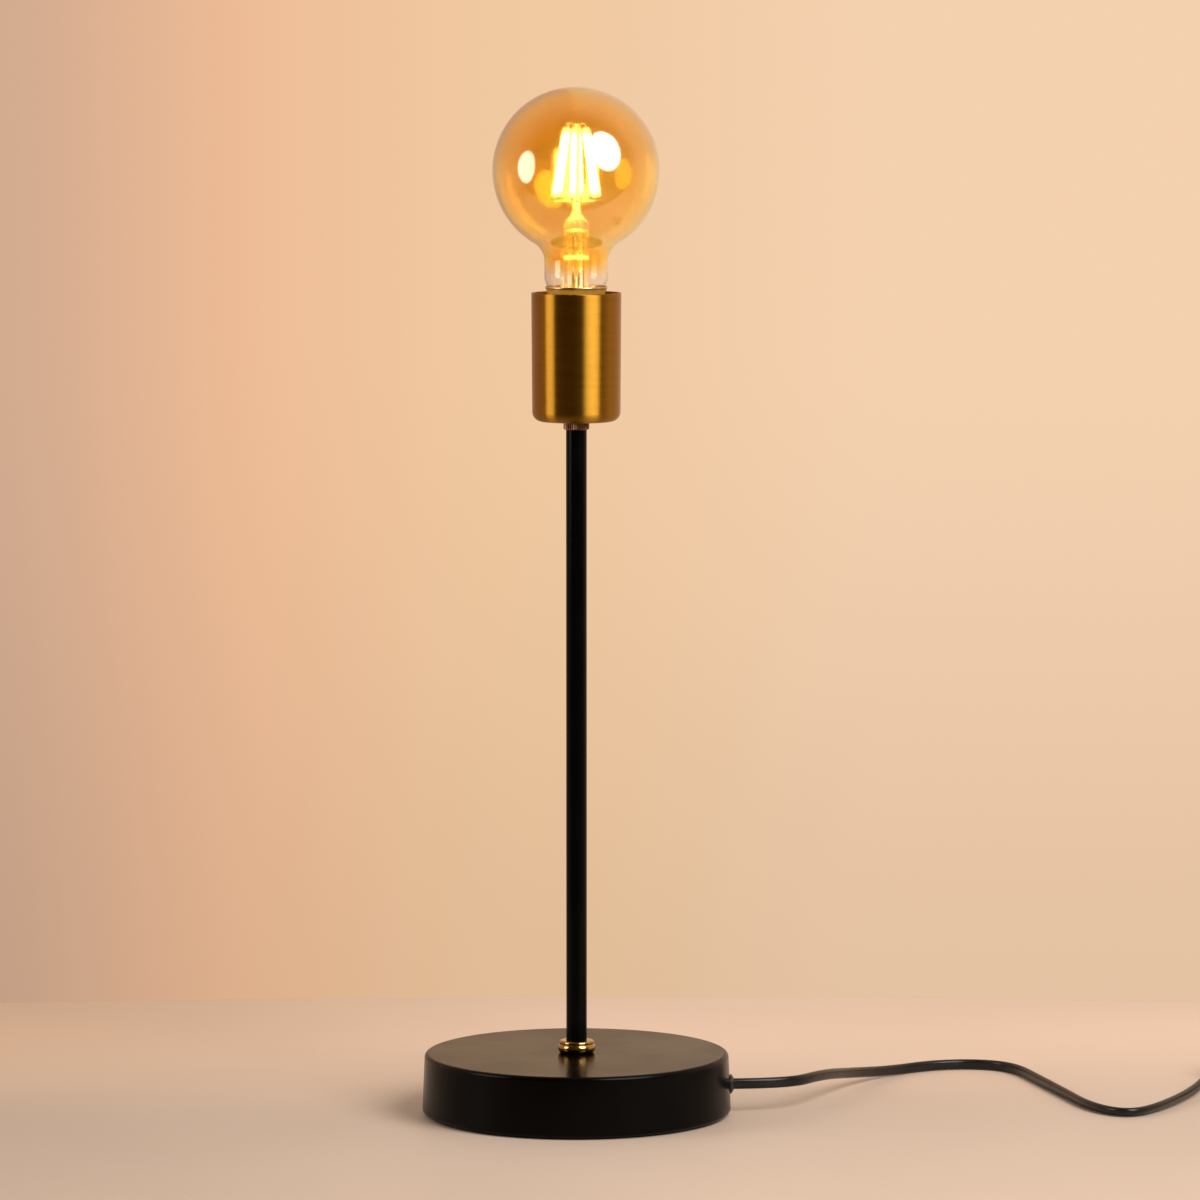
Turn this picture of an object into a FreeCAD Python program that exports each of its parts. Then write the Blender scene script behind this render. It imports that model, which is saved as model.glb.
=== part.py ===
"""Bare bulb table lamp: a round weighted base, a slim stem, a brass cup with its lampholder,
a globe filament bulb that screws out, and a two-core mains lead with a rocker switch and a plug.

Millimetres, +Z up. The origin is the middle of the base, on the table. The lead leaves along +X.
"""

import FreeCAD, Part
import math
import os

V = FreeCAD.Vector
AXIS = V(0, 0, 1)

# ---------------------------------------------------------------- driving sizes
fit = 0.1                      # radial clearance of a turned piece in its bore
seat_gap = 0.3                 # clearance round a loose inner piece

base_radius = 75.0             # at the bottom edge
base_height = 30.0
base_draft = 1.3               # the top is this much smaller in radius
base_edge = 2.0                # rounding of the top edge
cover_wall = 1.2
cover_lift = 1.0               # the cover's rim stands this far off the table
cover_hem = 2.6                # how far the rolled rim reaches in
cover_hem_roll = 2.0           # outer radius of its roll
pad_thickness = 1.6
plate_thickness = 1.2
weight_thickness = 10.5
weight_inset = 1.6             # between the weight and the cover's wall
weight_pocket = 1.0            # room round the gland's nut, cast into the weight
boss_radius = 4.5              # the weight's three feet that carry the plate
boss_circle = 48.0
boss_count = 3
boss_turn = 60.0               # where the first foot stands, in degrees
screw_radius = 1.5
screw_head_radius = 2.8
screw_length = 9.0

tube_radius = 5.0
tube_bore = 4.0
stem_length = 302.8            # bare length between the base and the ring nut
tube_tail = 1.2                # below the foot nut
tube_head = 8.5                # above the cup's lock nut
washer_radius = 11.0
washer_thickness = 1.5
foot_nut_flats = 14.0
foot_nut_thickness = 4.0

collar_height = 6.0
collar_radius = 9.1
collar_foot_radius = 7.8
collar_lip_radius = 8.4
collar_groove = 0.15           # depth of the line between the belly and the lip
collar_chamfer = 0.7

ring_nut_radius = 6.2
ring_nut_height = 3.9
ring_nut_ribs = 36
ring_nut_rib_depth = 0.25

cup_height = 61.9
cup_rim_radius = 21.64
cup_draft = 0.4                # the cup's foot is this much smaller in radius
cup_corner = 5.0
cup_wall = 1.0
cup_dish = 0.5                 # how far the flat bottom rises to its corner
cup_groove_depth = 0.2
cup_groove_width = 0.5
cup_groove_drop = 2.6          # below the rim
lock_nut_flats = 14.0
lock_nut_thickness = 3.0

holder_radius = 19.4
holder_wall = 2.0
holder_boss_radius = 8.0
holder_cap_height = 20.0
holder_collar_height = 6.0
insert_thickness = 11.0
skirt_height = 40.0
skirt_lip = 2.0
skirt_mouth_radius = 15.4
shell_clearance = 0.35         # between the bulb's cap and the screw shell
sheet_metal = 0.4
shell_height = 22.0
shell_window_radius = 7.0
contact_width = 4.0
contact_thickness = 0.5
contact_groove = 2.2           # depth of the tongue's groove in the insert
terminal_length = 10.0
terminal_width = 6.0
terminal_height = 6.5
terminal_offset = 9.5
terminal_screw_radius = 1.5
terminal_screw_head = 2.4
terminal_hole_radius = 1.2
core_radius = 1.0

cap_radius = 13.1              # over the thread's crests
cap_height = 27.0              # from the foot contact to the flared rim
cap_rim_above_cup = 3.0
cap_flare_radius = 15.0
cap_flare_height = 5.2
insulator_height = 3.6
insulator_foot_radius = 5.6
foot_contact_radius = 4.7
foot_contact_height = 1.1

globe_radius = 40.2
globe_rise = 55.4              # from the cap's rim to the globe's middle
glass_wall = 0.9
neck_radius = 15.35
neck_blend = 10.0              # hollow curve between the neck and the globe
neck_seat_radius = 12.0        # where the neck goes down into the cap
neck_depth = 10.0              # how far it goes down
stem_tube_radius = 6.0
stem_tube_rise = 32.0          # above the cap's rim
stem_rod_radius = 1.8
exhaust_radius = 2.1           # the tube inside the mount that the bulb was emptied through
exhaust_bore = 1.4
filament_count = 6
filament_radius = 1.35
filament_tab_radius = 0.5      # bare metal at both ends
filament_tab = 1.6
filament_turn = 20.0           # where the first one stands, in degrees
filament_top_circle = 5.0
filament_foot_circle = 11.4
filament_foot_rise = 41.5      # above the cap's rim
filament_top_rise = 77.5
support_radius = 0.3
support_hub = 1.0              # height of the spokes' sleeve
lead_wire_offset = 3.4         # from the bulb's axis
driver_thickness = 1.2

gland_height = 14.4            # of the lead's exit above the table
gland_flange_radius = 4.85
gland_flange = 1.6             # how far the domed flange stands out
gland_lip_radius = 3.1         # round the lead, at the flange's outer end
gland_neck_radius = 4.2
gland_neck_length = 8.0
gland_nut_flats = 13.0
gland_nut_thickness = 3.0

cord_radius = 2.2
inner_cord_gap = 0.5           # between the lead and the base's plate
inner_bend = 8.4               # the lead's bend up into the stem
sheath_end = 1.5               # how far the sheath stands out of the stem

switch_length = 60.0
switch_width = 24.0
switch_height = 16.0
switch_end_width = 11.0
switch_split = 8.5             # height of the joint between its halves
switch_edge = 2.5
switch_cord_height = 6.5
rocker_length = 19.0
rocker_width = 10.0
rocker_depth = 7.0
rocker_rise = 2.4
rocker_tilt = 7.0              # to each side of the middle
rocker_gap = 0.35
rocker_pin_radius = 1.0
rocker_pin_length = 1.4

coil_place = (379.0, 66.0)
coil_outer_radius = 35.5       # at the middle of the outermost turn
coil_pitch = 5.7
coil_turn_total = 2512.0       # degrees wound, with the half turn that climbs
coil_start = -8.0              # where the winding starts, in degrees
coil_layer_gap = 0.5
tie_thickness = 0.8
tie_width = 9.0
tie_place = 180.0

plug_place = (388.0, 4.5)      # of the lead's inlet
plug_length = 35.3
plug_width = 26.1
plug_height = 13.7
plug_tail_length = 15.0
pin_radius = 2.0
pin_length = 19.0
pin_sleeve_length = 10.0
pin_spacing = 18.6
pin_spacing_at_tips = 17.5

# ---------------------------------------------------------------- levels that follow
plate_bottom = pad_thickness
plate_top = plate_bottom + plate_thickness
cover_ceiling = base_height - cover_wall
weight_bottom = cover_ceiling - weight_thickness
washer_bottom = weight_bottom - washer_thickness
foot_nut_bottom = washer_bottom - foot_nut_thickness
tube_bottom = foot_nut_bottom - tube_tail
ring_nut_bottom = base_height + stem_length
cup_bottom = ring_nut_bottom + ring_nut_height
cup_floor = cup_bottom + cup_wall
cup_top = cup_bottom + cup_height
lock_nut_top = cup_floor + lock_nut_thickness
tube_top = lock_nut_top + tube_head
holder_bottom = lock_nut_top + seat_gap
holder_collar_top = holder_bottom + holder_cap_height
holder_shoulder = holder_collar_top - holder_collar_height
insert_top = holder_collar_top + insert_thickness
skirt_top = holder_shoulder + skirt_height
cap_rim = cup_top + cap_rim_above_cup
bulb_tip = cap_rim - cap_height
cap_bottom = bulb_tip + foot_contact_height + insulator_height
globe_middle = cap_rim + globe_rise
stem_shoulder = cap_rim + stem_tube_rise
neck_bottom = cap_rim - neck_depth
driver_level = cap_rim - cap_height / 2 - 2
shell_inner_radius = cap_radius + shell_clearance
coil_lift = tie_thickness + 0.2
coil_low = cord_radius + coil_lift
coil_high = coil_low + 2 * cord_radius + coil_layer_gap


def cover_radius_at(height):
    """The cover's outer radius at a height: it narrows evenly to the top."""
    return base_radius - base_draft * height / base_height


closure_radius = cover_radius_at(cover_lift) - cover_hem - seat_gap
flange_seat = cover_radius_at(gland_height - gland_flange_radius) + 0.05
gland_inner = flange_seat - gland_neck_length


# ---------------------------------------------------------------- the lead's route, by hand
def heading_of(points):
    """The direction of a route's last run, seen from above, in degrees."""
    last = points[-1] - points[-2]
    return math.degrees(math.atan2(last.y, last.x))


run_points = [
    V(gland_inner, 0, gland_height),
    V(103, 0, gland_height),
    V(121, 33, 13.5),
    V(138, 70, 7),
    V(157, 102, cord_radius),
    V(176, 124, cord_radius),
    V(198, 128.5, cord_radius),
    V(217, 112.5, cord_radius),
    V(228, 75, cord_radius),
    V(236, 38, cord_radius),
    V(246, 5, cord_radius),
    V(266, -5.5, cord_radius),
    V(286, 2, cord_radius),
    V(300, 37, 3),
    V(312.5, 62.5, switch_cord_height),
    V(326, 84, switch_cord_height),
]
switch_inlet = run_points[-1]
switch_heading = heading_of(run_points)
switch_along = (run_points[-1] - run_points[-2]).normalize()
switch_outlet = switch_inlet + switch_along * switch_length

coil_middle = V(*coil_place, 0)


def around_coil(angle, radius, height):
    """A point of the coil, from its angle in degrees."""
    turn = math.radians(angle)
    return coil_middle + V(radius * math.cos(turn), radius * math.sin(turn), height)


def coil_heading(angle):
    """The direction of a turn there; the lead winds clockwise, seen from above."""
    turn = math.radians(angle)
    return V(math.sin(turn), -math.cos(turn), 0)


coil_end = coil_start - coil_turn_total
coil_inlet = (around_coil(coil_start, coil_outer_radius, coil_low)
              - coil_heading(coil_start) * 2 * cord_radius)
coil_outlet = (around_coil(coil_end, coil_outer_radius, coil_high)
               + coil_heading(coil_end) * 2 * cord_radius)

lead_points = [
    switch_outlet,
    switch_outlet + switch_along * 24,
    V(395.5, 157.8, 3),
    V(413, 142, cord_radius),
    V(419, 115.5, cord_radius),
    coil_inlet - coil_heading(coil_start) * 25,
    coil_inlet,
]

plug_inlet = V(*plug_place, plug_height / 2)
tail_points = [
    coil_outlet,
    coil_outlet + coil_heading(coil_end) * 23,
    V(408, 16, plug_height / 2),
    plug_inlet,
]
plug_heading = heading_of(tail_points)


# ---------------------------------------------------------------- shape helpers
def rounded(corners):
    """Edges of a closed outline in the XZ plane. A corner is (x, z) or (x, z, radius)."""
    count = len(corners)
    places = [V(c[0], 0, c[1]) for c in corners]
    starts, ends, middles = [], [], []
    for i, corner in enumerate(corners):
        here = places[i]
        radius = corner[2] if len(corner) > 2 else 0
        if not radius:
            starts.append(here)
            ends.append(here)
            middles.append(None)
            continue
        back = (places[i - 1] - here).normalize()
        ahead = (places[(i + 1) % count] - here).normalize()
        half = back.getAngle(ahead) / 2
        reach = radius / math.tan(half)
        bisector = (back + ahead).normalize()
        starts.append(here + back * reach)
        ends.append(here + ahead * reach)
        middles.append(here + bisector * (radius / math.sin(half) - radius))
    edges = []
    for i in range(count):
        if middles[i] is not None:
            edges.append(Part.Arc(starts[i], middles[i], ends[i]).toShape())
        following = starts[(i + 1) % count]
        if (ends[i] - following).Length > 1e-6:
            edges.append(Part.LineSegment(ends[i], following).toShape())
    return edges


def turned(corners):
    """A solid of revolution about the lamp's axis, from half of its section."""
    return spun(rounded(corners))


def spun(edges):
    """A solid of revolution about the lamp's axis, from the edges of half of its section."""
    face = Part.Face(Part.Wire(Part.__sortEdges__(edges)))
    return face.revolve(V(0, 0, 0), AXIS, 360)


def disc(radius, bottom, top, bore=0.0):
    """A round plate, with a bore if one is given."""
    plate = Part.makeCylinder(radius, top - bottom, V(0, 0, bottom))
    if bore:
        plate = plate.cut(Part.makeCylinder(bore, top - bottom + 2, V(0, 0, bottom - 1)))
    return plate


def hex_nut(flats, bottom, top, bore):
    """A hexagon nut with chamfered corners."""
    corner = flats / math.sqrt(3)
    ring = [V(corner * math.cos(math.radians(a)), corner * math.sin(math.radians(a)), bottom)
            for a in range(0, 420, 60)]
    blank = Part.Face(Part.makePolygon(ring)).extrude(V(0, 0, top - bottom))
    chamfer = (corner - flats / 2) * 0.6
    body = turned([(0, bottom), (flats / 2, bottom), (corner, bottom + chamfer),
                   (corner, top - chamfer), (flats / 2, top), (0, top)])
    return blank.common(body).cut(disc(bore, bottom - 1, top + 1))


def around(shape, count, first=0.0):
    """Copies of a shape, evenly spaced about the lamp's axis."""
    copies = []
    for i in range(count):
        copy = shape.copy()
        copy.rotate(V(0, 0, 0), AXIS, first + 360.0 * i / count)
        copies.append(copy)
    return copies


def placed(shape, place, heading):
    """A piece drawn along +X from the origin, moved to a place and turned to a heading."""
    shape.rotate(V(0, 0, 0), AXIS, heading)
    shape.translate(place)
    return shape


def route(points, share=0.45):
    """Straight runs joined by tangent arcs, each as large as its two runs allow."""
    edges, radii = [], []
    here = points[0]
    for before, corner, after in zip(points, points[1:], points[2:]):
        back, ahead = before - corner, after - corner
        reach = share * min(back.Length, ahead.Length)
        back.normalize()
        ahead.normalize()
        half = back.getAngle(ahead) / 2
        radius = reach * math.tan(half)
        start, end = corner + back * reach, corner + ahead * reach
        middle = corner + (back + ahead).normalize() * (radius / math.sin(half) - radius)
        edges.append(Part.LineSegment(here, start).toShape())
        edges.append(Part.Arc(start, middle, end).toShape())
        radii.append(radius)
        here = end
    edges.append(Part.LineSegment(here, points[-1]).toShape())
    return Part.Wire(edges), radii


def tube_along(path, radius, start, heading):
    """A round tube swept along a path."""
    ring = Part.Wire(Part.makeCircle(radius, start, heading))
    return path.makePipeShell([ring], True, False)


def report_tube(name, tube, path, radius, radii):
    """Print a tube's length, its volume against section times length, and its bends."""
    share = tube.Volume / (math.pi * radius ** 2 * path.Length)
    bends = " ".join("%.0f" % r for r in radii)
    print("%s: %.0f mm long, volume share %.4f, radii %s" % (name, path.Length, share, bends))


def lead_along(name, points, radius=cord_radius):
    """One stretch of the lead, along its route."""
    path, radii = route(points)
    tube = tube_along(path, radius, points[0], points[1] - points[0])
    report_tube(name, tube, path, radius, radii)
    return tube


def rounded_section(width, height, corner, place, across, up):
    """A wire round a rectangle with rounded corners, for lofts."""
    w, h = width / 2, height / 2
    c = min(corner, w - 0.01, h - 0.01)
    k = c * (1 - math.sqrt(0.5))

    def at(x, y):
        return place + across * x + up * y

    sides = [((-w + c, -h), (w - c, -h)), ((w, -h + c), (w, h - c)),
             ((w - c, h), (-w + c, h)), ((-w, h - c), (-w, -h + c))]
    turns = [(w - k, -h + k), (w - k, h - k), (-w + k, h - k), (-w + k, -h + k)]
    edges = []
    for i, (start, end) in enumerate(sides):
        edges.append(Part.LineSegment(at(*start), at(*end)).toShape())
        following = sides[(i + 1) % 4][0]
        edges.append(Part.Arc(at(*end), at(*turns[i]), at(*following)).toShape())
    return Part.Wire(edges)


# ---------------------------------------------------------------- base
def base_cover():
    """A spun shell with a drafted wall, a rolled-in rim, a stem hole and a hole for the gland."""
    low, high = cover_radius_at(cover_lift), cover_radius_at(base_height)
    hem_end = low - cover_hem
    shell = turned([
        (tube_radius + fit, base_height), (high, base_height, base_edge), (low, cover_lift, cover_hem_roll),
        (hem_end, cover_lift), (hem_end, cover_lift + cover_wall),
        (low - cover_wall, cover_lift + cover_wall, cover_hem_roll - cover_wall),
        (high - cover_wall, cover_ceiling, base_edge - cover_wall / 2), (tube_radius + fit, cover_ceiling)])
    hole = Part.makeCylinder(gland_neck_radius + fit, 2 * cover_hem + 2 * base_draft,
                             V(base_radius - 2 * cover_hem, 0, gland_height), V(1, 0, 0))
    return shell.cut(hole)


def base_weight():
    """A cast disc under the cover's top, with three feet for the plate and a pocket for the gland."""
    radius = cover_radius_at(base_height) - cover_wall - weight_inset
    disc_body = turned([
        (tube_radius + fit, weight_bottom), (washer_radius + 3, weight_bottom),
        (washer_radius + 4.5, weight_bottom), (radius, weight_bottom, 1.5),
        (radius, cover_ceiling, 1.5), (tube_radius + fit, cover_ceiling)])
    boss = turned([(0, plate_top), (boss_radius - 0.6, plate_top),
                   (boss_radius, weight_bottom + 1), (0, weight_bottom + 1)])
    boss.translate(V(boss_circle, 0, 0))
    tap = Part.makeCylinder(screw_radius + fit, screw_length + 1, V(boss_circle, 0, plate_bottom))
    bosses = around(boss, boss_count, boss_turn)
    taps = around(tap, boss_count, boss_turn)
    half = gland_nut_flats / math.sqrt(3) + weight_pocket
    inner_end = gland_inner - 3 * weight_pocket
    pocket = Part.makeBox(base_radius, 2 * half, gland_height + half - weight_bottom + 1,
                          V(inner_end, -half, weight_bottom - 1))
    return disc_body.fuse(bosses).removeSplitter().cut(Part.makeCompound(taps)).cut(pocket)


def base_plate():
    """The steel plate that closes the base, with countersunk holes."""
    plate = disc(closure_radius, plate_bottom, plate_top)
    sink = Part.makeCone(screw_head_radius + fit, screw_radius + fit, plate_thickness + 0.02,
                         V(boss_circle, 0, plate_bottom - 0.01))
    return plate.cut(Part.makeCompound(around(sink, boss_count, boss_turn)))


def base_screws():
    """Countersunk screws through the plate into the weight's feet."""
    head = Part.makeCone(screw_head_radius, screw_radius, plate_thickness, V(boss_circle, 0, plate_bottom))
    shank = Part.makeCylinder(screw_radius, screw_length, V(boss_circle, 0, plate_bottom))
    slot = Part.makeBox(2 * screw_head_radius + 1, 0.7, 0.6,
                        V(boss_circle - screw_head_radius - 0.5, -0.35, plate_bottom))
    screw = head.fuse(shank).removeSplitter().cut(slot)
    return Part.makeCompound(around(screw, boss_count, boss_turn))


def base_pad():
    """A soft disc glued under the plate."""
    return turned([(0, 0), (closure_radius, 0, 0.3), (closure_radius, pad_thickness), (0, pad_thickness)])


def foot_washer():
    return disc(washer_radius, washer_bottom, weight_bottom, tube_radius + fit)


def foot_nut():
    return hex_nut(foot_nut_flats, foot_nut_bottom, washer_bottom, tube_radius + fit)


# ---------------------------------------------------------------- stem
def stem_tube():
    """The threaded lamp tube that clamps the whole lamp together."""
    return turned([
        (tube_bore, tube_bottom), (tube_radius - 0.3, tube_bottom), (tube_radius, tube_bottom + 0.5),
        (tube_radius, tube_top - 0.5), (tube_radius - 0.3, tube_top), (tube_bore, tube_top)])


def foot_collar():
    """A turned brass bead: a full round belly over a narrow foot, and a smaller lip on top."""
    z = base_height
    bore = tube_radius + fit
    belly = z + 0.43 * collar_height
    neck = z + 0.74 * collar_height
    lip = z + 0.86 * collar_height
    top = z + collar_height
    waist = collar_lip_radius - collar_groove
    rim = collar_lip_radius - collar_chamfer
    edges = [
        Part.LineSegment(V(bore, 0, z), V(collar_foot_radius, 0, z)).toShape(),
        Part.Arc(V(collar_foot_radius, 0, z), V(collar_radius, 0, belly), V(waist, 0, neck)).toShape(),
        Part.Arc(V(waist, 0, neck), V(collar_lip_radius, 0, lip), V(rim, 0, top)).toShape(),
        Part.LineSegment(V(rim, 0, top), V(bore, 0, top)).toShape(),
        Part.LineSegment(V(bore, 0, top), V(bore, 0, z)).toShape()]
    return spun(edges)


def ring_nut():
    """A small knurled nut under the cup."""
    steps = 2 * ring_nut_ribs
    ring = []
    for i in range(steps + 1):
        radius = ring_nut_radius - (i % 2) * ring_nut_rib_depth
        turn = 2 * math.pi * (i % steps) / steps
        ring.append(V(radius * math.cos(turn), radius * math.sin(turn), ring_nut_bottom))
    knurled = Part.Face(Part.makePolygon(ring)).extrude(V(0, 0, ring_nut_height))
    chamfer = 0.5
    body = turned([
        (tube_radius + fit, ring_nut_bottom), (ring_nut_radius - chamfer, ring_nut_bottom),
        (ring_nut_radius, ring_nut_bottom + chamfer), (ring_nut_radius, cup_bottom - chamfer),
        (ring_nut_radius - chamfer, cup_bottom), (tube_radius + fit, cup_bottom)])
    return knurled.common(body)


# ---------------------------------------------------------------- cup and lampholder
def socket_cup():
    """The deep-drawn cup: drafted wall, big corner, a fine groove under its rim."""
    foot = cup_rim_radius - cup_draft
    groove = cup_top - cup_groove_drop
    groove_foot = groove - cup_groove_width
    groove_radius = cup_rim_radius - cup_groove_depth
    flat = foot - cup_corner
    bore = tube_radius + fit
    return turned([
        (bore, cup_bottom), (flat, cup_bottom), (foot, cup_bottom + cup_dish, cup_corner - 0.3),
        (cup_rim_radius, groove_foot), (groove_radius, groove_foot),
        (groove_radius, groove), (cup_rim_radius, groove),
        (cup_rim_radius, cup_top, 0.3), (cup_rim_radius - cup_wall, cup_top, 0.3),
        (foot - cup_wall, cup_bottom + cup_dish + cup_wall, cup_corner - cup_wall - 0.3),
        (flat, cup_floor), (bore, cup_floor)])


def cup_lock_nut():
    return hex_nut(lock_nut_flats, cup_floor, lock_nut_top, tube_radius + fit)


def holder_cap():
    """The lampholder's lower half: a threaded boss, a domed shell and the collar for the skirt."""
    bore = tube_radius + fit
    inner = holder_radius - holder_wall
    floor = holder_bottom + 5.5
    return turned([
        (bore, holder_bottom), (holder_boss_radius, holder_bottom), (holder_boss_radius, holder_bottom + 4),
        (holder_radius, holder_bottom + 9, 3), (holder_radius, holder_shoulder),
        (inner - 0.1, holder_shoulder), (inner - 0.1, holder_collar_top),
        (inner - holder_wall, holder_collar_top), (inner - holder_wall, floor + 4, 2),
        (holder_boss_radius, floor), (bore, floor)])


def holder_skirt():
    """The lampholder's upper half: it screws on the collar and clamps the insert."""
    inner = holder_radius - holder_wall
    lip = skirt_top - skirt_lip
    return turned([
        (inner, holder_shoulder), (holder_radius, holder_shoulder), (holder_radius, skirt_top, 0.8),
        (skirt_mouth_radius, skirt_top, 0.6), (skirt_mouth_radius, lip),
        (inner - 1.2, lip - 1.2), (inner - 1.2, insert_top), (inner, insert_top)])


def holder_insert():
    """The moulded insert, with pockets for the two terminals and slots for their tabs."""
    inner = holder_radius - holder_wall
    body = turned([(0, holder_collar_top), (inner - 0.1, holder_collar_top), (inner - 0.1, insert_top),
                   (0, insert_top)])
    for side in (-1, 1):
        pocket = Part.makeBox(terminal_width + 2 * fit, terminal_length + 2 * fit, terminal_height + fit,
                              V(side * terminal_offset - terminal_width / 2 - fit,
                                -terminal_length / 2 - fit, holder_collar_top))
        body = body.cut(pocket)
        slot = Part.makeBox(contact_thickness + 2 * fit, contact_width + 2 * fit, insert_thickness,
                            V(side * terminal_offset - contact_thickness / 2 - fit,
                              -contact_width / 2 - fit, holder_collar_top + 1))
        body = body.cut(slot)
    groove = Part.makeBox(terminal_offset, contact_width + 2 * fit, contact_groove,
                          V(-terminal_offset, -contact_width / 2 - fit, insert_top - contact_groove))
    return body.cut(groove)


def terminals():
    """Two brass blocks, each bored for a core and tapped for its screw."""
    blocks = []
    for side in (-1, 1):
        block = Part.makeBox(terminal_width, terminal_length, terminal_height,
                             V(side * terminal_offset - terminal_width / 2, -terminal_length / 2,
                               holder_collar_top))
        core = Part.makeCylinder(terminal_hole_radius, terminal_height,
                                 V(side * terminal_offset, -terminal_length / 4, holder_collar_top - 1))
        tap = Part.makeCylinder(terminal_screw_radius + 0.05, terminal_height,
                                V(side * terminal_offset, terminal_length / 4, holder_collar_top - 1))
        blocks.append(block.cut(core).cut(tap))
    return Part.makeCompound(blocks)


def terminal_screws():
    """One screw up into each terminal, from inside the cap."""
    screws = []
    for side in (-1, 1):
        x, y = side * terminal_offset, terminal_length / 4
        shank = Part.makeCylinder(terminal_screw_radius, 5.5, V(x, y, holder_collar_top - 1))
        head = Part.makeCylinder(terminal_screw_head, 1.5, V(x, y, holder_collar_top - 1.5))
        slot = Part.makeBox(2 * terminal_screw_head + 1, 0.6, 0.7,
                            V(x - terminal_screw_head - 0.5, y - 0.3, holder_collar_top - 1.5))
        screws.append(head.fuse(shank).removeSplitter().cut(slot))
    return Part.makeCompound(screws)


def screw_shell():
    """The brass thread shell that the bulb screws into, open below, with a tab to its terminal."""
    outer = shell_inner_radius + sheet_metal
    top = insert_top + shell_height
    foot = holder_collar_top + terminal_height + fit
    tab = Part.makeBox(contact_thickness, contact_width, insert_top + sheet_metal / 2 - foot,
                       V(terminal_offset - contact_thickness / 2, -contact_width / 2, foot))
    shell = turned([
        (shell_window_radius, insert_top), (outer, insert_top, 0.8), (outer, top - 1),
        (outer + 0.6, top), (outer + 0.2, top + 0.2), (shell_inner_radius, top - 0.8),
        (shell_inner_radius, insert_top + sheet_metal, 0.5), (shell_window_radius, insert_top + sheet_metal)])
    return shell.fuse(tab).removeSplitter()


def centre_contact():
    """A sprung brass tongue from its terminal to just under the bulb's foot contact."""
    half = contact_width / 2
    low, high = insert_top - contact_groove + fit, bulb_tip - seat_gap
    t = contact_thickness
    left = -terminal_offset - t / 2
    foot = holder_collar_top + terminal_height + fit
    ring = [(left, foot), (left, low + t), (-4, low + t), (-1.5, high), (1.5, high), (2.4, high - 1.2),
            (1.9, high - 1.4), (1.2, high - t), (-1.2, high - t), (-3.7, low), (left + t, low),
            (left + t, foot)]
    points = [V(x, -half, z) for x, z in ring]
    tongue = Part.Face(Part.makePolygon(points + points[:1])).extrude(V(0, contact_width, 0))
    return tongue


# ---------------------------------------------------------------- bulb
def glass_half(inset):
    """The globe's half outline, drawn in by an inset: the seat, the neck, the blend and the globe."""
    neck, globe = neck_radius - inset, globe_radius - inset
    blend = neck_blend + inset
    seat = neck_seat_radius - inset
    drop = math.sqrt((globe + blend) ** 2 - (neck + blend) ** 2)
    blend_z = globe_middle - drop
    share = globe / (globe + blend)
    joint = V(share * (neck + blend), 0, globe_middle - share * drop)
    away = (V(0, 0, globe_middle) - V(neck + blend, 0, blend_z)).normalize()
    halfway = (away + V(-1, 0, 0)).normalize()
    blend_mid = V(neck + blend, 0, blend_z) + halfway * blend
    side = math.atan2(joint.z - globe_middle, joint.x)
    mid_angle = (side + math.pi / 2) / 2
    globe_mid = V(globe * math.cos(mid_angle), 0, globe_middle + globe * math.sin(mid_angle))
    seat_top = cap_rim - cap_flare_height
    neck_foot = cap_rim + 3.5
    return [V(seat, 0, neck_bottom), V(seat, 0, seat_top), V(neck, 0, neck_foot), V(neck, 0, blend_z),
            blend_mid, joint, globe_mid, V(0, 0, globe_middle + globe)]


def glass_edges(p):
    """Edges along the half outline: two lines, a bend into the neck, the blend and the globe."""
    shoulder = (p[1] * 0.12 + p[2] * 0.88)
    lift = V(p[2].x, 0, p[2].z + 1.6)
    bend = shoulder * 0.25 + p[2] * 0.5 + lift * 0.25
    return [
        Part.LineSegment(p[0], p[1]).toShape(),
        Part.LineSegment(p[1], shoulder).toShape(),
        Part.Arc(shoulder, bend, lift).toShape(),
        Part.LineSegment(lift, p[3]).toShape(),
        Part.Arc(p[3], p[4], p[5]).toShape(),
        Part.Arc(p[5], p[6], p[7]).toShape()]


def bulb_glass():
    """A thin blown globe with its neck drawn down into the cap."""
    outer, inner = glass_half(0.0), glass_half(glass_wall)
    edges = glass_edges(outer) + glass_edges(inner)
    edges.append(Part.LineSegment(outer[0], inner[0]).toShape())
    edges.append(Part.LineSegment(outer[-1], inner[-1]).toShape())
    return spun(edges)


def support_level(end):
    """The height of the spokes under the filaments' feet, end -1, or over their tops, end 1."""
    rise = filament_foot_rise if end < 0 else filament_top_rise
    return cap_rim + rise + end * (support_radius + 0.35)


def bulb_stem():
    """The glass mount: a flare sealed to the neck, a tube with the exhaust tube in it, and the rod."""
    tube, rod = stem_tube_radius, stem_rod_radius
    low = neck_bottom - 1.0
    top = support_level(1) - support_hub / 2
    pinch = stem_shoulder - 4
    return turned([
        (neck_seat_radius, low), (neck_seat_radius, neck_bottom), (neck_seat_radius - 1.4, neck_bottom),
        (tube, cap_rim - 3, 4), (tube, stem_shoulder - 3, 2), (rod + 0.8, stem_shoulder + 1.5, 2),
        (rod, stem_shoulder + 4, 1), (rod, top, 1.2), (0, top), (0, pinch), (exhaust_bore, pinch),
        (exhaust_bore, low), (exhaust_radius, low), (exhaust_radius, pinch - 0.4, 0.4),
        (tube - 1, pinch - 1, 2), (tube - 1, cap_rim - 3, 4), (neck_seat_radius - 2.4, low)])


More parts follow.
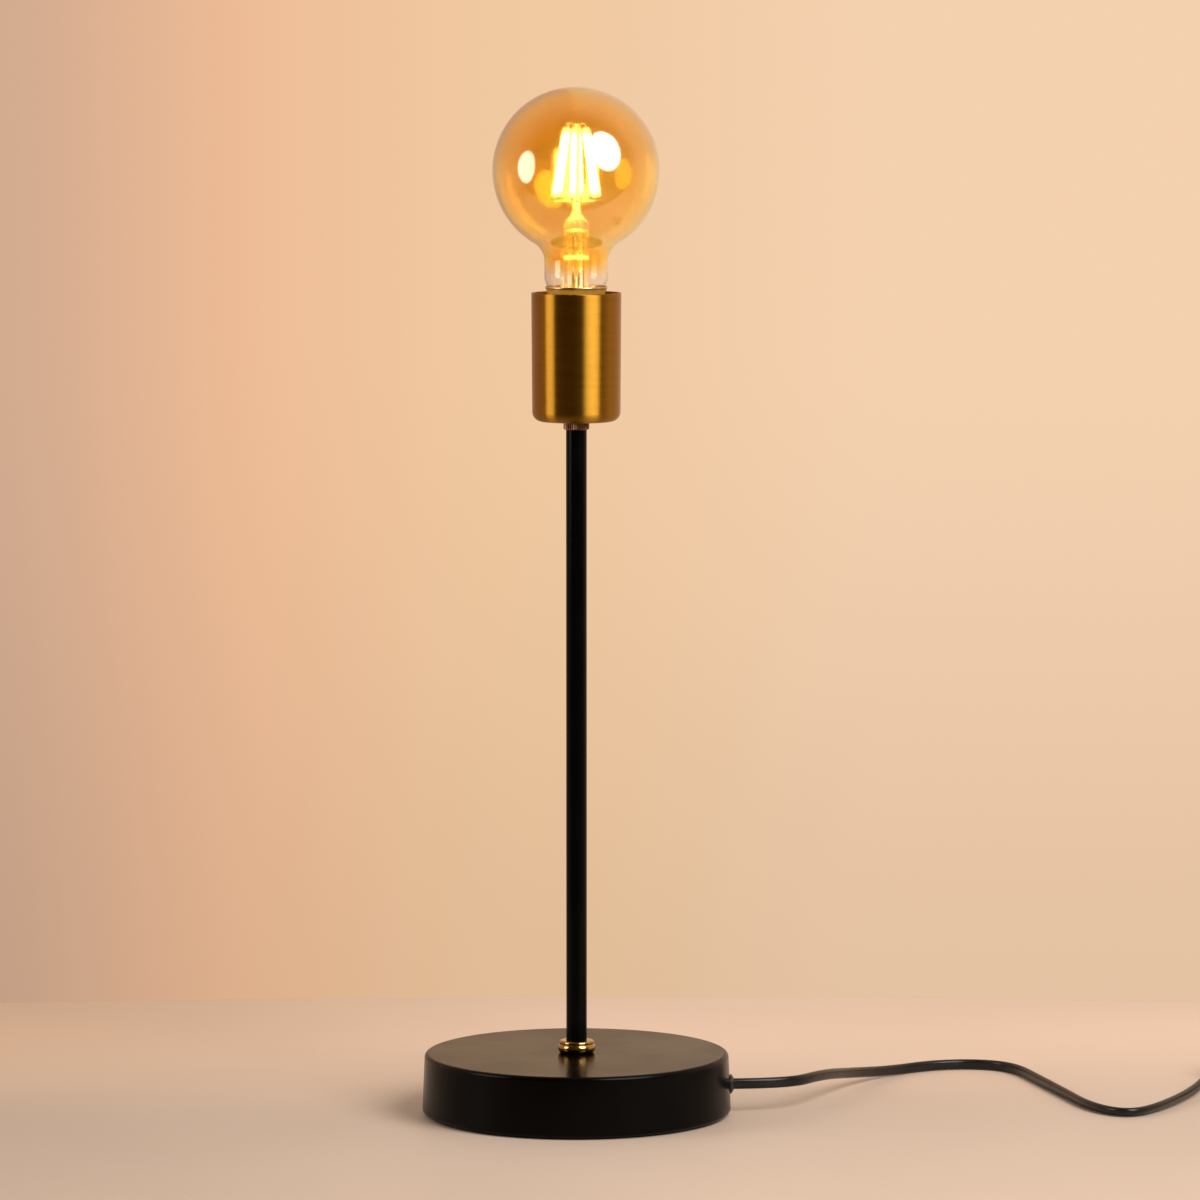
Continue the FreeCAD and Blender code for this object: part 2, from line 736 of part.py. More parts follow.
def filament_ends(index, count=filament_count):
    """The foot and the top of one filament."""
    turn = math.radians(filament_turn + 360.0 * index / count)
    out = V(math.cos(turn), math.sin(turn), 0)
    foot = out * filament_foot_circle + V(0, 0, cap_rim + filament_foot_rise)
    top = out * filament_top_circle + V(0, 0, cap_rim + filament_top_rise)
    return foot, top


def bulb_filaments():
    """Straight coated strips with a metal tab at each end; they lean in to the top like a tipi's poles."""
    rods = []
    for i in range(filament_count):
        foot, top = filament_ends(i)
        heading = (top - foot).normalize()
        length = (top - foot).Length
        tabs = Part.makeCylinder(filament_tab_radius, length, foot, heading)
        strip = Part.makeCylinder(filament_radius, length - 2 * filament_tab, foot + heading * filament_tab,
                                  heading)
        rods.append(strip.fuse(tabs).removeSplitter())
    return Part.makeCompound(rods)


def bulb_supports():
    """Wire spokes at the filaments' feet and tops: the lower hub is a sleeve, the upper one a button."""
    rod = stem_rod_radius + 0.05
    pieces = []
    for end, circle in ((-1, filament_foot_circle), (1, filament_top_circle)):
        level = support_level(end)
        hub = disc(rod + 0.5, level - support_hub / 2, level + support_hub / 2, rod if end < 0 else 0)
        start = rod + 0.2
        spoke = Part.makeCylinder(support_radius, circle + 0.4 - start, V(start, 0, level), V(1, 0, 0))
        pieces.append(hub.fuse(around(spoke, filament_count, filament_turn)).removeSplitter())
    return Part.makeCompound(pieces)


def bulb_leads():
    """Two wires from the driver up through the mount's tube."""
    low = driver_level + driver_thickness
    length = stem_shoulder - 5.2 - low
    leads = []
    for side in (-1, 1):
        leads.append(Part.makeCylinder(support_radius, length, V(side * lead_wire_offset, 0, low)))
    return Part.makeCompound(leads)


def bulb_driver():
    """The small round board and its capacitor, inside the cap."""
    board = disc(cap_radius - sheet_metal - seat_gap, driver_level, driver_level + driver_thickness)
    can = Part.makeCylinder(3.0, 4.5, V(0, 3.5, driver_level - 4.5))
    return board.fuse(can)


def bulb_cap():
    """The cap: a thread shell that narrows to the insulator below and flares out to its rim."""
    r, t = cap_radius, sheet_metal
    seat = cap_bottom
    flare = cap_rim - cap_flare_height
    return turned([
        (r - 3.4, seat), (r, seat + 3.0, 1), (r, flare, 2), (cap_flare_radius, cap_rim - 0.4, 1),
        (cap_flare_radius, cap_rim), (cap_flare_radius - t, cap_rim), (cap_flare_radius - t, cap_rim - 0.5),
        (r - t, flare, 2), (r - t, seat + 3.2, 1), (r - 3.6, seat + t)])


def bulb_insulator():
    """The black insulator between the cap and the foot contact."""
    low = bulb_tip + foot_contact_height
    return turned([(0, low), (insulator_foot_radius, low, 0.5), (cap_radius - 3.5, cap_bottom - 0.6),
                   (cap_radius - 3.5, cap_bottom), (0, cap_bottom)])


def bulb_contact():
    """The domed foot contact."""
    top = bulb_tip + foot_contact_height
    return turned([(0, bulb_tip), (foot_contact_radius - 1.6, bulb_tip, 1),
                   (foot_contact_radius, top), (0, top)])


# ---------------------------------------------------------------- lead, from the gland inwards
def gland_body():
    """A bush in the cover's wall with a low domed flange; the lead passes through it."""
    flange = turned([(0, 0), (gland_flange_radius, 0), (gland_flange_radius, gland_flange / 4, 0.2),
                     (gland_lip_radius, gland_flange, 0.5), (0, gland_flange)])
    neck = disc(gland_neck_radius, -gland_neck_length, 0.5)
    body = flange.fuse(neck).removeSplitter()
    body = body.cut(disc(cord_radius + fit, -gland_neck_length - 1, gland_flange + 1))
    body.rotate(V(0, 0, 0), V(0, 1, 0), 90)
    body.translate(V(flange_seat, 0, gland_height))
    return body


def gland_nut():
    """The nut that holds the bush from inside the cover."""
    inner = cover_radius_at(gland_height) - cover_wall
    reach = math.sqrt(inner ** 2 - (gland_nut_flats / math.sqrt(3)) ** 2) - seat_gap
    nut = hex_nut(gland_nut_flats, 0, gland_nut_thickness, gland_neck_radius + fit)
    nut.rotate(V(0, 0, 0), V(0, 1, 0), 90)
    nut.translate(V(reach - gland_nut_thickness, 0, gland_height))
    return nut


def inner_cord():
    """The lead inside the lamp: from the gland it sags in the base, then goes up the stem."""
    low = plate_top + cord_radius + inner_cord_gap
    sheath_top = tube_top + sheath_end
    points = [V(gland_inner, 0, gland_height), V(gland_inner - 9, 0, gland_height),
              V(gland_inner - 26, 0, low),
              V(inner_bend * 3, 0, low), V(0, 0, low), V(0, 0, low + inner_bend * 2.8),
              V(0, 0, sheath_top)]
    corner = points[4]
    start, end = corner + V(inner_bend, 0, 0), corner + V(0, 0, inner_bend)
    middle = corner + V(1, 0, 1) * (inner_bend * (1 - math.sqrt(0.5)))
    first, radii = route(points[:3] + [start])
    edges = first.Edges + [Part.Arc(start, middle, end).toShape(),
                           Part.LineSegment(end, points[-1]).toShape()]
    path = Part.Wire(edges)
    tube = tube_along(path, cord_radius, points[0], V(-1, 0, 0))
    report_tube("inner_cord", tube, path, cord_radius, radii + [inner_bend])
    return tube


def inner_cores():
    """The two bare-ended cores, from the end of the sheath into the terminals."""
    start = tube_top + sheath_end
    cores = []
    for side in (-1, 1):
        x = side * terminal_offset
        y = -terminal_length / 4
        points = [V(side * 1.1, 0, start), V(side * 1.1, 0, start + 3),
                  V(x, y, holder_collar_top - 4.5), V(x, y, holder_collar_top - 0.2)]
        cores.append(lead_along("core", points, core_radius))
    return Part.makeCompound(cores)


def cord_coil():
    """The put-away length: one tube that spirals in, climbs a layer in half a turn, and spirals out."""
    climb = 180.0
    layer = (coil_turn_total - climb) / 2
    steps_in = int(round(layer / 90.0))

    def state(wound):
        """Place and heading after winding that many degrees."""
        if wound <= layer:
            radius, height, rate = coil_outer_radius - coil_pitch * wound / 360, coil_low, -coil_pitch
        elif wound < layer + climb:
            share = (wound - layer) / climb
            radius, rate = coil_outer_radius - coil_pitch * layer / 360, 0
            height = coil_low + (coil_high - coil_low) * (3 * share ** 2 - 2 * share ** 3)
        else:
            left = coil_turn_total - wound
            radius, height, rate = coil_outer_radius - coil_pitch * left / 360, coil_high, coil_pitch
        angle = coil_start - wound
        outward = around_coil(angle, 1, 0) - coil_middle
        slope = 0
        if layer < wound < layer + climb:
            share = (wound - layer) / climb
            slope = (coil_high - coil_low) * 6 * share * (1 - share) / climb * 360
        heading = coil_heading(angle) * (2 * math.pi * radius) + outward * rate + V(0, 0, slope)
        return around_coil(angle, radius, height), heading.normalize()

    marks = [layer * i / steps_in for i in range(steps_in + 1)]
    marks += [layer + climb / 2]
    marks += [layer + climb + layer * i / steps_in for i in range(steps_in + 1)]
    states = [state(m) for m in marks]
    states[0] = (states[0][0], coil_heading(coil_start))
    states[-1] = (states[-1][0], coil_heading(coil_end))
    edges = [Part.LineSegment(coil_inlet, states[0][0]).toShape()]
    for (start, out), (end, into) in zip(states, states[1:]):
        edges += biarc(start, out, end, into)
    edges.append(Part.LineSegment(states[-1][0], coil_outlet).toShape())
    path = Part.Wire(edges)
    tube = tube_along(path, cord_radius, coil_inlet, coil_heading(coil_start))
    report_tube("cord_coil", tube, path, cord_radius, [coil_outer_radius - coil_pitch * layer / 360])
    print("cord_coil: least gap to itself %.2f mm" % least_gap(path, 2 * cord_radius))
    return tube


def biarc(start, out, end, into):
    """Two arcs from start to end that keep both headings."""
    across = end - start
    both = out + into
    bend = 2 * (1 - out.dot(into))
    along = across.dot(both)
    reach = (-along + math.sqrt(along ** 2 + bend * across.dot(across))) / bend
    first, last = start + out * reach, end - into * reach
    joint = (first + last) * 0.5
    return [tangent_arc(start, first, joint, reach), tangent_arc(joint, last, end, reach)]


def tangent_arc(start, corner, end, reach):
    """An arc that touches both sides of a corner, reach away from it."""
    weight = (end - start).Length / (2 * reach)
    middle = (start + corner * (2 * weight) + end) * (1 / (2 + 2 * weight))
    return Part.Arc(start, middle, end).toShape()


def least_gap(path, thick):
    """The least gap between two turns of a tube, measured on points of its middle line."""
    points = path.discretize(Distance=2.0)
    skip = int(3 * thick / 2.0)
    least = 1e9
    for i, here in enumerate(points):
        for there in points[i + skip:]:
            least = min(least, (there - here).Length)
    return least - thick


def cord_tie():
    """A strap round the coil's turns."""
    layer = (coil_turn_total - 180.0) / 2
    hollow = coil_outer_radius - coil_pitch * layer / 360 - cord_radius
    inner = math.sqrt(hollow ** 2 - (tie_width / 2) ** 2) - seat_gap
    outer = coil_outer_radius + cord_radius + seat_gap
    top = coil_high + cord_radius + seat_gap
    ring = Part.makeBox(outer - inner + 2 * tie_thickness, tie_width, top + tie_thickness,
                        V(inner - tie_thickness, -tie_width / 2, 0))
    hole = Part.makeBox(outer - inner, tie_width + 2, top - tie_thickness,
                        V(inner, -tie_width / 2 - 1, tie_thickness))
    strap = ring.makeFillet(tie_thickness * 0.9, [e for e in ring.Edges if e.Length == tie_width])
    return placed(strap.cut(hole), coil_middle, tie_place)


# ---------------------------------------------------------------- in-line switch
def switch_outline(inset):
    """The switch seen from above: straight middle, tapered ends."""
    half, end = switch_width / 2 - inset, switch_end_width / 2 - inset
    shoulder = switch_length * 0.23
    corners = [(inset, -end, 1.5), (shoulder, -half, 8), (switch_length - shoulder, -half, 8),
               (switch_length - inset, -end, 1.5), (switch_length - inset, end, 1.5),
               (switch_length - shoulder, half, 8), (shoulder, half, 8), (inset, end, 1.5)]
    flat = Part.Wire(Part.__sortEdges__(rounded(corners)))
    flat.rotate(V(0, 0, 0), V(1, 0, 0), -90)
    return Part.Face(flat)


def switch_block():
    """The whole housing's outer form, with its edges rounded."""
    block = switch_outline(0).extrude(V(0, 0, switch_height))
    if block.BoundBox.ZMin < -1:
        block.translate(V(0, 0, switch_height))
    rim = [e for e in block.Edges if abs(e.BoundBox.ZMin - e.BoundBox.ZMax) < 1e-6]
    return block.makeFillet(switch_edge, rim)


def rocker_cavity():
    """The well that the rocker turns in, with its pin seats."""
    middle = switch_length / 2
    length, width = rocker_length + 2 * rocker_gap, rocker_width + 2 * rocker_gap
    well = Part.makeBox(length, width, rocker_depth + 5,
                        V(middle - length / 2, -width / 2, switch_height - rocker_depth))
    reach = width + 2 * rocker_pin_length + 2 * fit
    seat = Part.makeCylinder(rocker_pin_radius + fit, reach,
                             V(middle, -reach / 2, rocker_axis_height()), V(0, 1, 0))
    return well.fuse(seat)


def rocker_axis_height():
    return switch_height - 1.6


def switch_screw_places():
    return [V(switch_length * share, side * switch_width * 0.27, 0)
            for share, side in ((0.26, 1), (0.74, -1))]


def switch_half(low, high, cutters):
    """The part of the housing between two heights."""
    slab = Part.makeBox(switch_length + 2, switch_width + 2, high - low, V(-1, -switch_width / 2 - 1, low))
    half = switch_block().common(slab)
    for cutter in cutters:
        half = half.cut(cutter)
    return placed(half, V(switch_inlet.x, switch_inlet.y, 0), switch_heading)


def switch_bottom():
    holes = []
    for spot in switch_screw_places():
        holes.append(Part.makeCylinder(screw_radius + fit, switch_height, spot))
        holes.append(Part.makeCylinder(screw_head_radius + fit, 2.2, spot))
    return switch_half(0, switch_split, holes + [rocker_cavity()])


def switch_top():
    holes = [Part.makeCylinder(screw_radius + fit, switch_split + 4, spot) for spot in switch_screw_places()]
    return switch_half(switch_split, switch_height, holes + [rocker_cavity()])


def switch_screws():
    """Two screws from below, one at each end."""
    screws = []
    for spot in switch_screw_places():
        head = Part.makeCylinder(screw_head_radius, 1.6, spot + V(0, 0, 0.6))
        shank = Part.makeCylinder(screw_radius, switch_split + 2.5, spot + V(0, 0, 0.6))
        slot = Part.makeBox(2 * screw_head_radius + 1, 0.7, 0.8,
                            spot + V(-screw_head_radius - 0.5, -0.35, 0.6))
        screws.append(head.fuse(shank).removeSplitter().cut(slot))
    return placed(Part.makeCompound(screws), V(switch_inlet.x, switch_inlet.y, 0), switch_heading)


def switch_rocker():
    """The rocker: two sloped faces over a rounded keel, at rest with its far end down."""
    middle = switch_length / 2
    axis = rocker_axis_height()
    half = rocker_length / 2
    rise = axis + rocker_rise
    slope = math.tan(math.radians(rocker_tilt)) * half
    keel = rocker_depth - 2.6
    side = [(-half, rise + slope - 1.6, 1), (-half, axis - 1.2, 0.6), (-3.2, axis - keel, 1.5),
            (3.2, axis - keel, 1.5), (half, axis - 1.2, 0.6), (half, rise + slope - 1.6, 1),
            (half * 0.55, rise - 0.3, 4), (-half * 0.55, rise - 0.3, 4)]
    profile = Part.Wire(Part.__sortEdges__(rounded(side)))
    body = Part.Face(profile).extrude(V(0, rocker_width, 0))
    body.translate(V(0, -rocker_width / 2, 0))
    pins = Part.makeCylinder(rocker_pin_radius, rocker_width + 2 * rocker_pin_length,
                             V(0, -rocker_width / 2 - rocker_pin_length, axis), V(0, 1, 0))
    body = body.fuse(pins).removeSplitter()
    body.rotate(V(0, 0, axis), V(0, 1, 0), rocker_tilt)
    body.translate(V(middle, 0, 0))
    return placed(body, V(switch_inlet.x, switch_inlet.y, 0), switch_heading)


# ---------------------------------------------------------------- plug
def plug_body():
    """A flat two-pin plug: its face is the widest part, and its tail narrows over the lead."""
    across, up = V(0, 1, 0), V(0, 0, 1)
    middle = plug_height / 2
    stations = [
        (0, 6.2, 6.0, 2.6),
        (plug_tail_length, 9.5, 8.0, 3.2),
        (plug_tail_length + 6, 17.0, 10.6, 4.0),
        (plug_tail_length + 16, 22.5, 12.6, 4.4),
        (plug_tail_length + plug_length - 5, plug_width, plug_height, 4.6),
        (plug_tail_length + plug_length, plug_width, plug_height, 4.6)]
    sections = [rounded_section(w, h, c, V(x, 0, middle), across, up) for x, w, h, c in stations]
    body = Part.makeLoft(sections, True, True)
    for side in (-1, 1):
        bore = one_pin(side, pin_radius * 0.85 + 0.05, -6, pin_sleeve_length)
        sleeve = one_pin(side, pin_radius, 0, pin_sleeve_length)
        body = body.fuse(sleeve).cut(bore)
    return placed(body, V(plug_inlet.x, plug_inlet.y, 0), plug_heading)


def one_pin(side, radius, start, end):
    """A round bar along one pin's axis, between two distances from the plug's face."""
    face = plug_tail_length + plug_length
    lean = (pin_spacing - pin_spacing_at_tips) / 2 / pin_length
    heading = V(1, -side * lean, 0).normalize()
    foot = V(face, side * pin_spacing / 2, plug_height / 2) + heading * start
    return Part.makeCylinder(radius, end - start, foot, heading)


def plug_pins():
    """Two round pins, thinner where their sleeves go over them, with round tips."""
    pins = []
    for side in (-1, 1):
        slim = one_pin(side, pin_radius * 0.85, -6, pin_sleeve_length + 0.1)
        full = one_pin(side, pin_radius, pin_sleeve_length + 0.1, pin_length)
        tip = [e for e in full.Edges if e.Length > 2 * math.pi * pin_radius - 0.1]
        tip.sort(key=lambda e: e.BoundBox.Center.x)
        pins.append(slim.fuse(full.makeFillet(1.4, [tip[-1]])))
    return placed(Part.makeCompound(pins), V(plug_inlet.x, plug_inlet.y, 0), plug_heading)


# ---------------------------------------------------------------- the lamp
def build():
    """Every piece under its name."""
    return {
        "base_cover": base_cover(),
        "base_weight": base_weight(),
        "base_plate": base_plate(),
        "base_screws": base_screws(),
        "base_pad": base_pad(),
        "foot_washer": foot_washer(),
        "foot_nut": foot_nut(),
        "stem_tube": stem_tube(),
        "foot_collar": foot_collar(),
        "ring_nut": ring_nut(),
        "socket_cup": socket_cup(),
        "cup_lock_nut": cup_lock_nut(),
        "holder_cap": holder_cap(),
        "holder_skirt": holder_skirt(),
        "holder_insert": holder_insert(),
        "terminals": terminals(),
        "terminal_screws": terminal_screws(),
        "screw_shell": screw_shell(),
        "centre_contact": centre_contact(),
        "bulb_glass": bulb_glass(),
        "bulb_stem": bulb_stem(),
        "bulb_filaments": bulb_filaments(),
        "bulb_supports": bulb_supports(),
        "bulb_leads": bulb_leads(),
        "bulb_driver": bulb_driver(),
        "bulb_cap": bulb_cap(),
        "bulb_insulator": bulb_insulator(),
        "bulb_contact": bulb_contact(),
        "gland_body": gland_body(),
        "gland_nut": gland_nut(),
        "inner_cord": inner_cord(),
        "inner_cores": inner_cores(),
        "cord_run": lead_along("cord_run", run_points),
        "cord_lead": lead_along("cord_lead", lead_points),
        "cord_coil": cord_coil(),
        "cord_tail": lead_along("cord_tail", tail_points),
        "cord_tie": cord_tie(),
        "switch_bottom": switch_bottom(),
        "switch_top": switch_top(),
        "switch_rocker": switch_rocker(),
        "switch_screws": switch_screws(),
        "plug_body": plug_body(),
        "plug_pins": plug_pins(),
    }


def main():
    os.makedirs("parts", exist_ok=True)
    for name, shape in build().items():
        if not shape.isValid() or not shape.Solids:
            print("%s: not a valid solid" % name)
        shape.exportStep("parts/%s.step" % name)
        box = shape.BoundBox
        print("%-16s %d solid(s) %10.1f mm3  x %.1f..%.1f y %.1f..%.1f z %.1f..%.1f" % (
            name, len(shape.Solids), shape.Volume, box.XMin, box.XMax, box.YMin, box.YMax,
            box.ZMin, box.ZMax))


main()
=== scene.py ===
# %% [markdown]
# # A bare bulb table lamp
#
# The lamp stands on a round black base. A slim black stem carries a deep brass cup, and an amber
# globe bulb screws into the holder inside the cup. A flat black lead leaves the base's side.
#
# The solids come from the measured model, in metres, with +Z up and the origin under the middle of
# the base. This file gives them their finishes, and replaces those that need finer forms: the
# blown glass, the cap's thread, the filaments, the glass mount, the lead and its tie.

# %% Load the measured model
import math

import bmesh
import bpy
from mathutils import Matrix, Vector


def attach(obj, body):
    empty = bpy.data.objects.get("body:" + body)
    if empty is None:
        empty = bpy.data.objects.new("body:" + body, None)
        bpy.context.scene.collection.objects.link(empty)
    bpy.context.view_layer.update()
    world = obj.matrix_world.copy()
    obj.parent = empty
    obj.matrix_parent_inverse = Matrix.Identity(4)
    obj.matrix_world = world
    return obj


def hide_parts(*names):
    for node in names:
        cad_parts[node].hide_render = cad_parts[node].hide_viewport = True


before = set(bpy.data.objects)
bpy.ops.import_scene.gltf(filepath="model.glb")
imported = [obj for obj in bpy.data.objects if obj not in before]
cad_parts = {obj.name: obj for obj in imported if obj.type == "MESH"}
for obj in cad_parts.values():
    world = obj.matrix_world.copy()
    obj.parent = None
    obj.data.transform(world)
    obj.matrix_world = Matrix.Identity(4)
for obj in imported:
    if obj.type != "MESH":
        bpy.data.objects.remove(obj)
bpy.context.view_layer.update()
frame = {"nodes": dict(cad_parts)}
MM = 0.001

# %% [markdown]
# ## The camera
#
# A camera could be placed by eye, but here it follows from the picture: the two ellipses of the
# base give how far it looks down, and the way the stem narrows gives how far away it is. It is a
# long lens, so the lamp's sides stay nearly upright.

# %% Camera
EYE = Vector((0.0, -3.069, 0.5441))
LOOK_DOWN = 0.0954
LOOK_RIGHT = 0.0037
LENS = 191.86
SENSOR_WIDTH = 36.0

camera_data = bpy.data.cameras.new("camera")
camera_data.lens = LENS
camera_data.sensor_width = SENSOR_WIDTH
camera = bpy.data.objects.new("camera", camera_data)
camera.location = EYE
camera.rotation_euler = (math.pi / 2 - LOOK_DOWN, 0.0, -LOOK_RIGHT)
bpy.context.scene.collection.objects.link(camera)
bpy.context.scene.camera = camera
bpy.context.scene.view_settings.view_transform = "Standard"
print("camera at", tuple(EYE), "lens", LENS, "mm")

# %% [markdown]
# ## Small helpers
#
# Each new piece is a bmesh that becomes an object at the origin, rides on one of the model's
# bodies and takes its finish as its material. An outline is drawn with a pen: lines add one
# vertex, and an arc spins the last vertex about a centre. Spinning the whole outline about the
# lamp's axis then makes the turned shape.

# %% Helpers for pieces
def new_piece(bm, name, body, material, replaces=()):
    """Turns a bmesh into a smooth object that rides on a body."""
    mesh = bpy.data.meshes.new(name)
    bm.to_mesh(mesh)
    bm.free()
    mesh.materials.append(material)
    for face in mesh.polygons:
        face.use_smooth = True
    piece = bpy.data.objects.new(name, mesh)
    bpy.context.scene.collection.objects.link(piece)
    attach(piece, body)
    if replaces:
        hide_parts(*replaces)
    print(name, "has", len(mesh.polygons), "faces")
    return piece


def pen_line(bm, pen, x, z):
    """Draws a line from the pen to a point of the XZ plane, and returns the pen's new place."""
    end = bm.verts.new((x, 0.0, z))
    bm.edges.new((pen, end))
    return end


def pen_arc(bm, pen, x, z, degrees, steps):
    """Spins the pen about a centre in the XZ plane, clockwise for positive degrees."""
    spun = bmesh.ops.spin(bm, geom=[pen], cent=(x, 0.0, z), axis=(0.0, 1.0, 0.0),
                          angle=math.radians(degrees), steps=steps)
    return next(part for part in spun["geom_last"] if isinstance(part, bmesh.types.BMVert))


def lathe(bm, steps):
    """Spins all that is drawn about the lamp's axis, and closes it."""
    bmesh.ops.spin(bm, geom=bm.verts[:] + bm.edges[:], cent=(0, 0, 0), axis=(0, 0, 1),
                   angle=math.tau, steps=steps, use_merge=True)
    bmesh.ops.remove_doubles(bm, verts=bm.verts[:], dist=1e-6)
    bmesh.ops.recalc_face_normals(bm, faces=bm.faces[:])


print("helpers ready")

# %% [markdown]
# ## Grain, shared by the finishes
#
# No real surface is one flat colour. Two noises in the object's own coordinates, a broad one for
# patches and a fine one for texture, are built once as a node group. Each finish places the group
# with its own scale and stretch. The slow shade changes its colour and its roughness, and the fine
# height becomes its bump.

# %% The grain group
def make_grain_group():
    """A node group that puts out a slow Shade and a fine Height, both from 0 to 1."""
    group = bpy.data.node_groups.new("surface_grain", "ShaderNodeTree")
    group.interface.new_socket("Patch Scale", in_out="INPUT", socket_type="NodeSocketFloat")
    group.interface.new_socket("Grain Scale", in_out="INPUT", socket_type="NodeSocketFloat")
    group.interface.new_socket("Stretch", in_out="INPUT", socket_type="NodeSocketVector")
    group.interface.new_socket("Shade", in_out="OUTPUT", socket_type="NodeSocketFloat")
    group.interface.new_socket("Height", in_out="OUTPUT", socket_type="NodeSocketFloat")
    nodes, links = group.nodes, group.links
    entry, leave = nodes.new("NodeGroupInput"), nodes.new("NodeGroupOutput")
    place = nodes.new("ShaderNodeTexCoord")
    stretch = nodes.new("ShaderNodeVectorMath")
    stretch.operation = "MULTIPLY"
    links.new(place.outputs["Object"], stretch.inputs[0])
    links.new(entry.outputs["Stretch"], stretch.inputs[1])
    for scale, detail, result in (("Patch Scale", 3.0, "Shade"), ("Grain Scale", 5.0, "Height")):
        noise = nodes.new("ShaderNodeTexNoise")
        noise.inputs["Detail"].default_value = detail
        links.new(stretch.outputs["Vector"], noise.inputs["Vector"])
        links.new(entry.outputs[scale], noise.inputs["Scale"])
        links.new(noise.outputs["Fac"], leave.inputs[result])
    return group


grain_group = make_grain_group()
print("group", grain_group.name, "with", len(grain_group.nodes), "nodes")

# %% [markdown]
# ## Steps that the finishes share
#
# A finish is a tree of nodes. A few steps come up again and again: the place of a point along an
# axis, a smooth step between two values, a mix of two colours, and the product of two outputs.
# These helpers add them to a material and to the world alike.

# %% Helpers for nodes
def set_sockets(node, values):
    """Sets plain values on a node's own sockets."""
    for socket, value in values.items():
        node.inputs[socket].default_value = value


def shader_of(material):
    """The material's shader."""
    return material.node_tree.nodes["Principled BSDF"]


def feed(material, socket, output):
    """Links an output to one of the shader's sockets."""
    material.node_tree.links.new(output, shader_of(material).inputs[socket])


def colour_of(material):
    """The output that feeds the shader's colour."""
    return shader_of(material).inputs["Base Color"].links[0].from_socket


def axes_of(owner, space="Object"):
    """The X, Y and Z outputs of each place, for a material or the world."""
    tree = owner.node_tree
    place = tree.nodes.new("ShaderNodeTexCoord")
    parts = tree.nodes.new("ShaderNodeSeparateXYZ")
    tree.links.new(place.outputs[space], parts.inputs["Vector"])
    return parts.outputs


def map_value(owner, source, low, high, start=0.3, end=0.7):
    """Maps a value between start and end smoothly onto low and high, and returns the output."""
    ramp = owner.node_tree.nodes.new("ShaderNodeMapRange")
    ramp.interpolation_type = "SMOOTHSTEP"
    set_sockets(ramp, {"From Min": start, "From Max": end, "To Min": low, "To Max": high})
    owner.node_tree.links.new(source, ramp.inputs["Value"])
    return ramp.outputs["Result"]


def mix_colours(owner, factor, first, second):
    """Mixes two colours, or outputs, by a factor's output."""
    tree = owner.node_tree
    mix = tree.nodes.new("ShaderNodeMix")
    mix.data_type = "RGBA"
    sockets = {s.identifier: s for s in mix.inputs}
    tree.links.new(factor, sockets["Factor_Float"])
    for value, name in ((first, "A_Color"), (second, "B_Color")):
        if isinstance(value, bpy.types.NodeSocket):
            tree.links.new(value, sockets[name])
        else:
            sockets[name].default_value = (*value, 1.0)
    return next(s for s in mix.outputs if s.identifier == "Result_Color")


def combine(owner, kind, operation, first, second):
    """Joins two outputs in a math or vector math node, and returns the output."""
    joined = owner.node_tree.nodes.new(kind)
    joined.operation = operation
    owner.node_tree.links.new(first, joined.inputs[0])
    owner.node_tree.links.new(second, joined.inputs["Scale" if operation == "SCALE" else 1])
    return joined.outputs[0]


print("node helpers ready")

# %% A finish from the grain
def make_finish(name, dark, light, rough, *, patch, grain, depth, stretch=(1, 1, 1), **fixed):
    """A material whose colour and roughness follow the patches, and whose bump is the grain."""
    material = bpy.data.materials.new(name)
    material.use_nodes = True
    nodes, links = material.node_tree.nodes, material.node_tree.links
    group = nodes.new("ShaderNodeGroup")
    group.node_tree = grain_group
    group.name = "grain"
    set_sockets(group, {"Patch Scale": patch, "Grain Scale": grain, "Stretch": stretch})
    shade = group.outputs["Shade"]
    feed(material, "Base Color",
         mix_colours(material, map_value(material, shade, 0, 1), dark, light))
    feed(material, "Roughness", map_value(material, shade, *rough))
    bump = nodes.new("ShaderNodeBump")
    set_sockets(bump, {"Strength": 1.0, "Distance": depth})
    links.new(group.outputs["Height"], bump.inputs["Height"])
    feed(material, "Normal", bump.outputs["Normal"])
    set_sockets(shader_of(material), {key.replace("_", " "): value for key, value in fixed.items()})
    return material


print("finish maker ready")

# %% [markdown]
# ## The table and the wall
#
# The lamp stands on a pale round table whose far edge is just behind it, in front of a warm wall.
# The table is a real slab, so it keeps the lamp's shadow. Its colour also holds painted light:
# warmer behind the lamp, where the wall's glow would light it, greyer in front, and lighter towards
# the right, on the big soft box's side. The wall is the world's own colour, pinker on the left and
# yellower on the right. It is painted lighter towards the right, as the big soft box would light
# it, and darker towards its foot. It is there from every side and never hides the lamp. Each of its
# steps says between which X of the direction the next tone comes in. Rough surfaces are lit by one
# plain room colour instead. Towards the camera's side the room is dark, and in a mirror the table
# turns dark 0.3 m before the lamp: black paint, brass and amber glass need that dark in their
# reflections.

# %% Table
TABLE_RADIUS = 2.56
TABLE_BACK = 0.359
TABLE_THICK = 0.03
# Painted light: the table's four corner colours. They are warm behind the lamp, as the wall's glow
# would light it, greyer in front, and lighter on the right.
BEHIND_LEFT, BEHIND_RIGHT = (0.63, 0.44, 0.31), (0.77, 0.575, 0.445)
FRONT_LEFT, FRONT_RIGHT = (0.44, 0.35, 0.28), (0.52, 0.41, 0.33)
LEFT_TO_RIGHT = (-0.34, 0.04)
FRONT_TO_BEHIND = (-0.05, 0.25)
DARK_TO_SEEN = (-0.38, -0.30)
MIRRORED_DARK = (0.03, 0.02, 0.015)

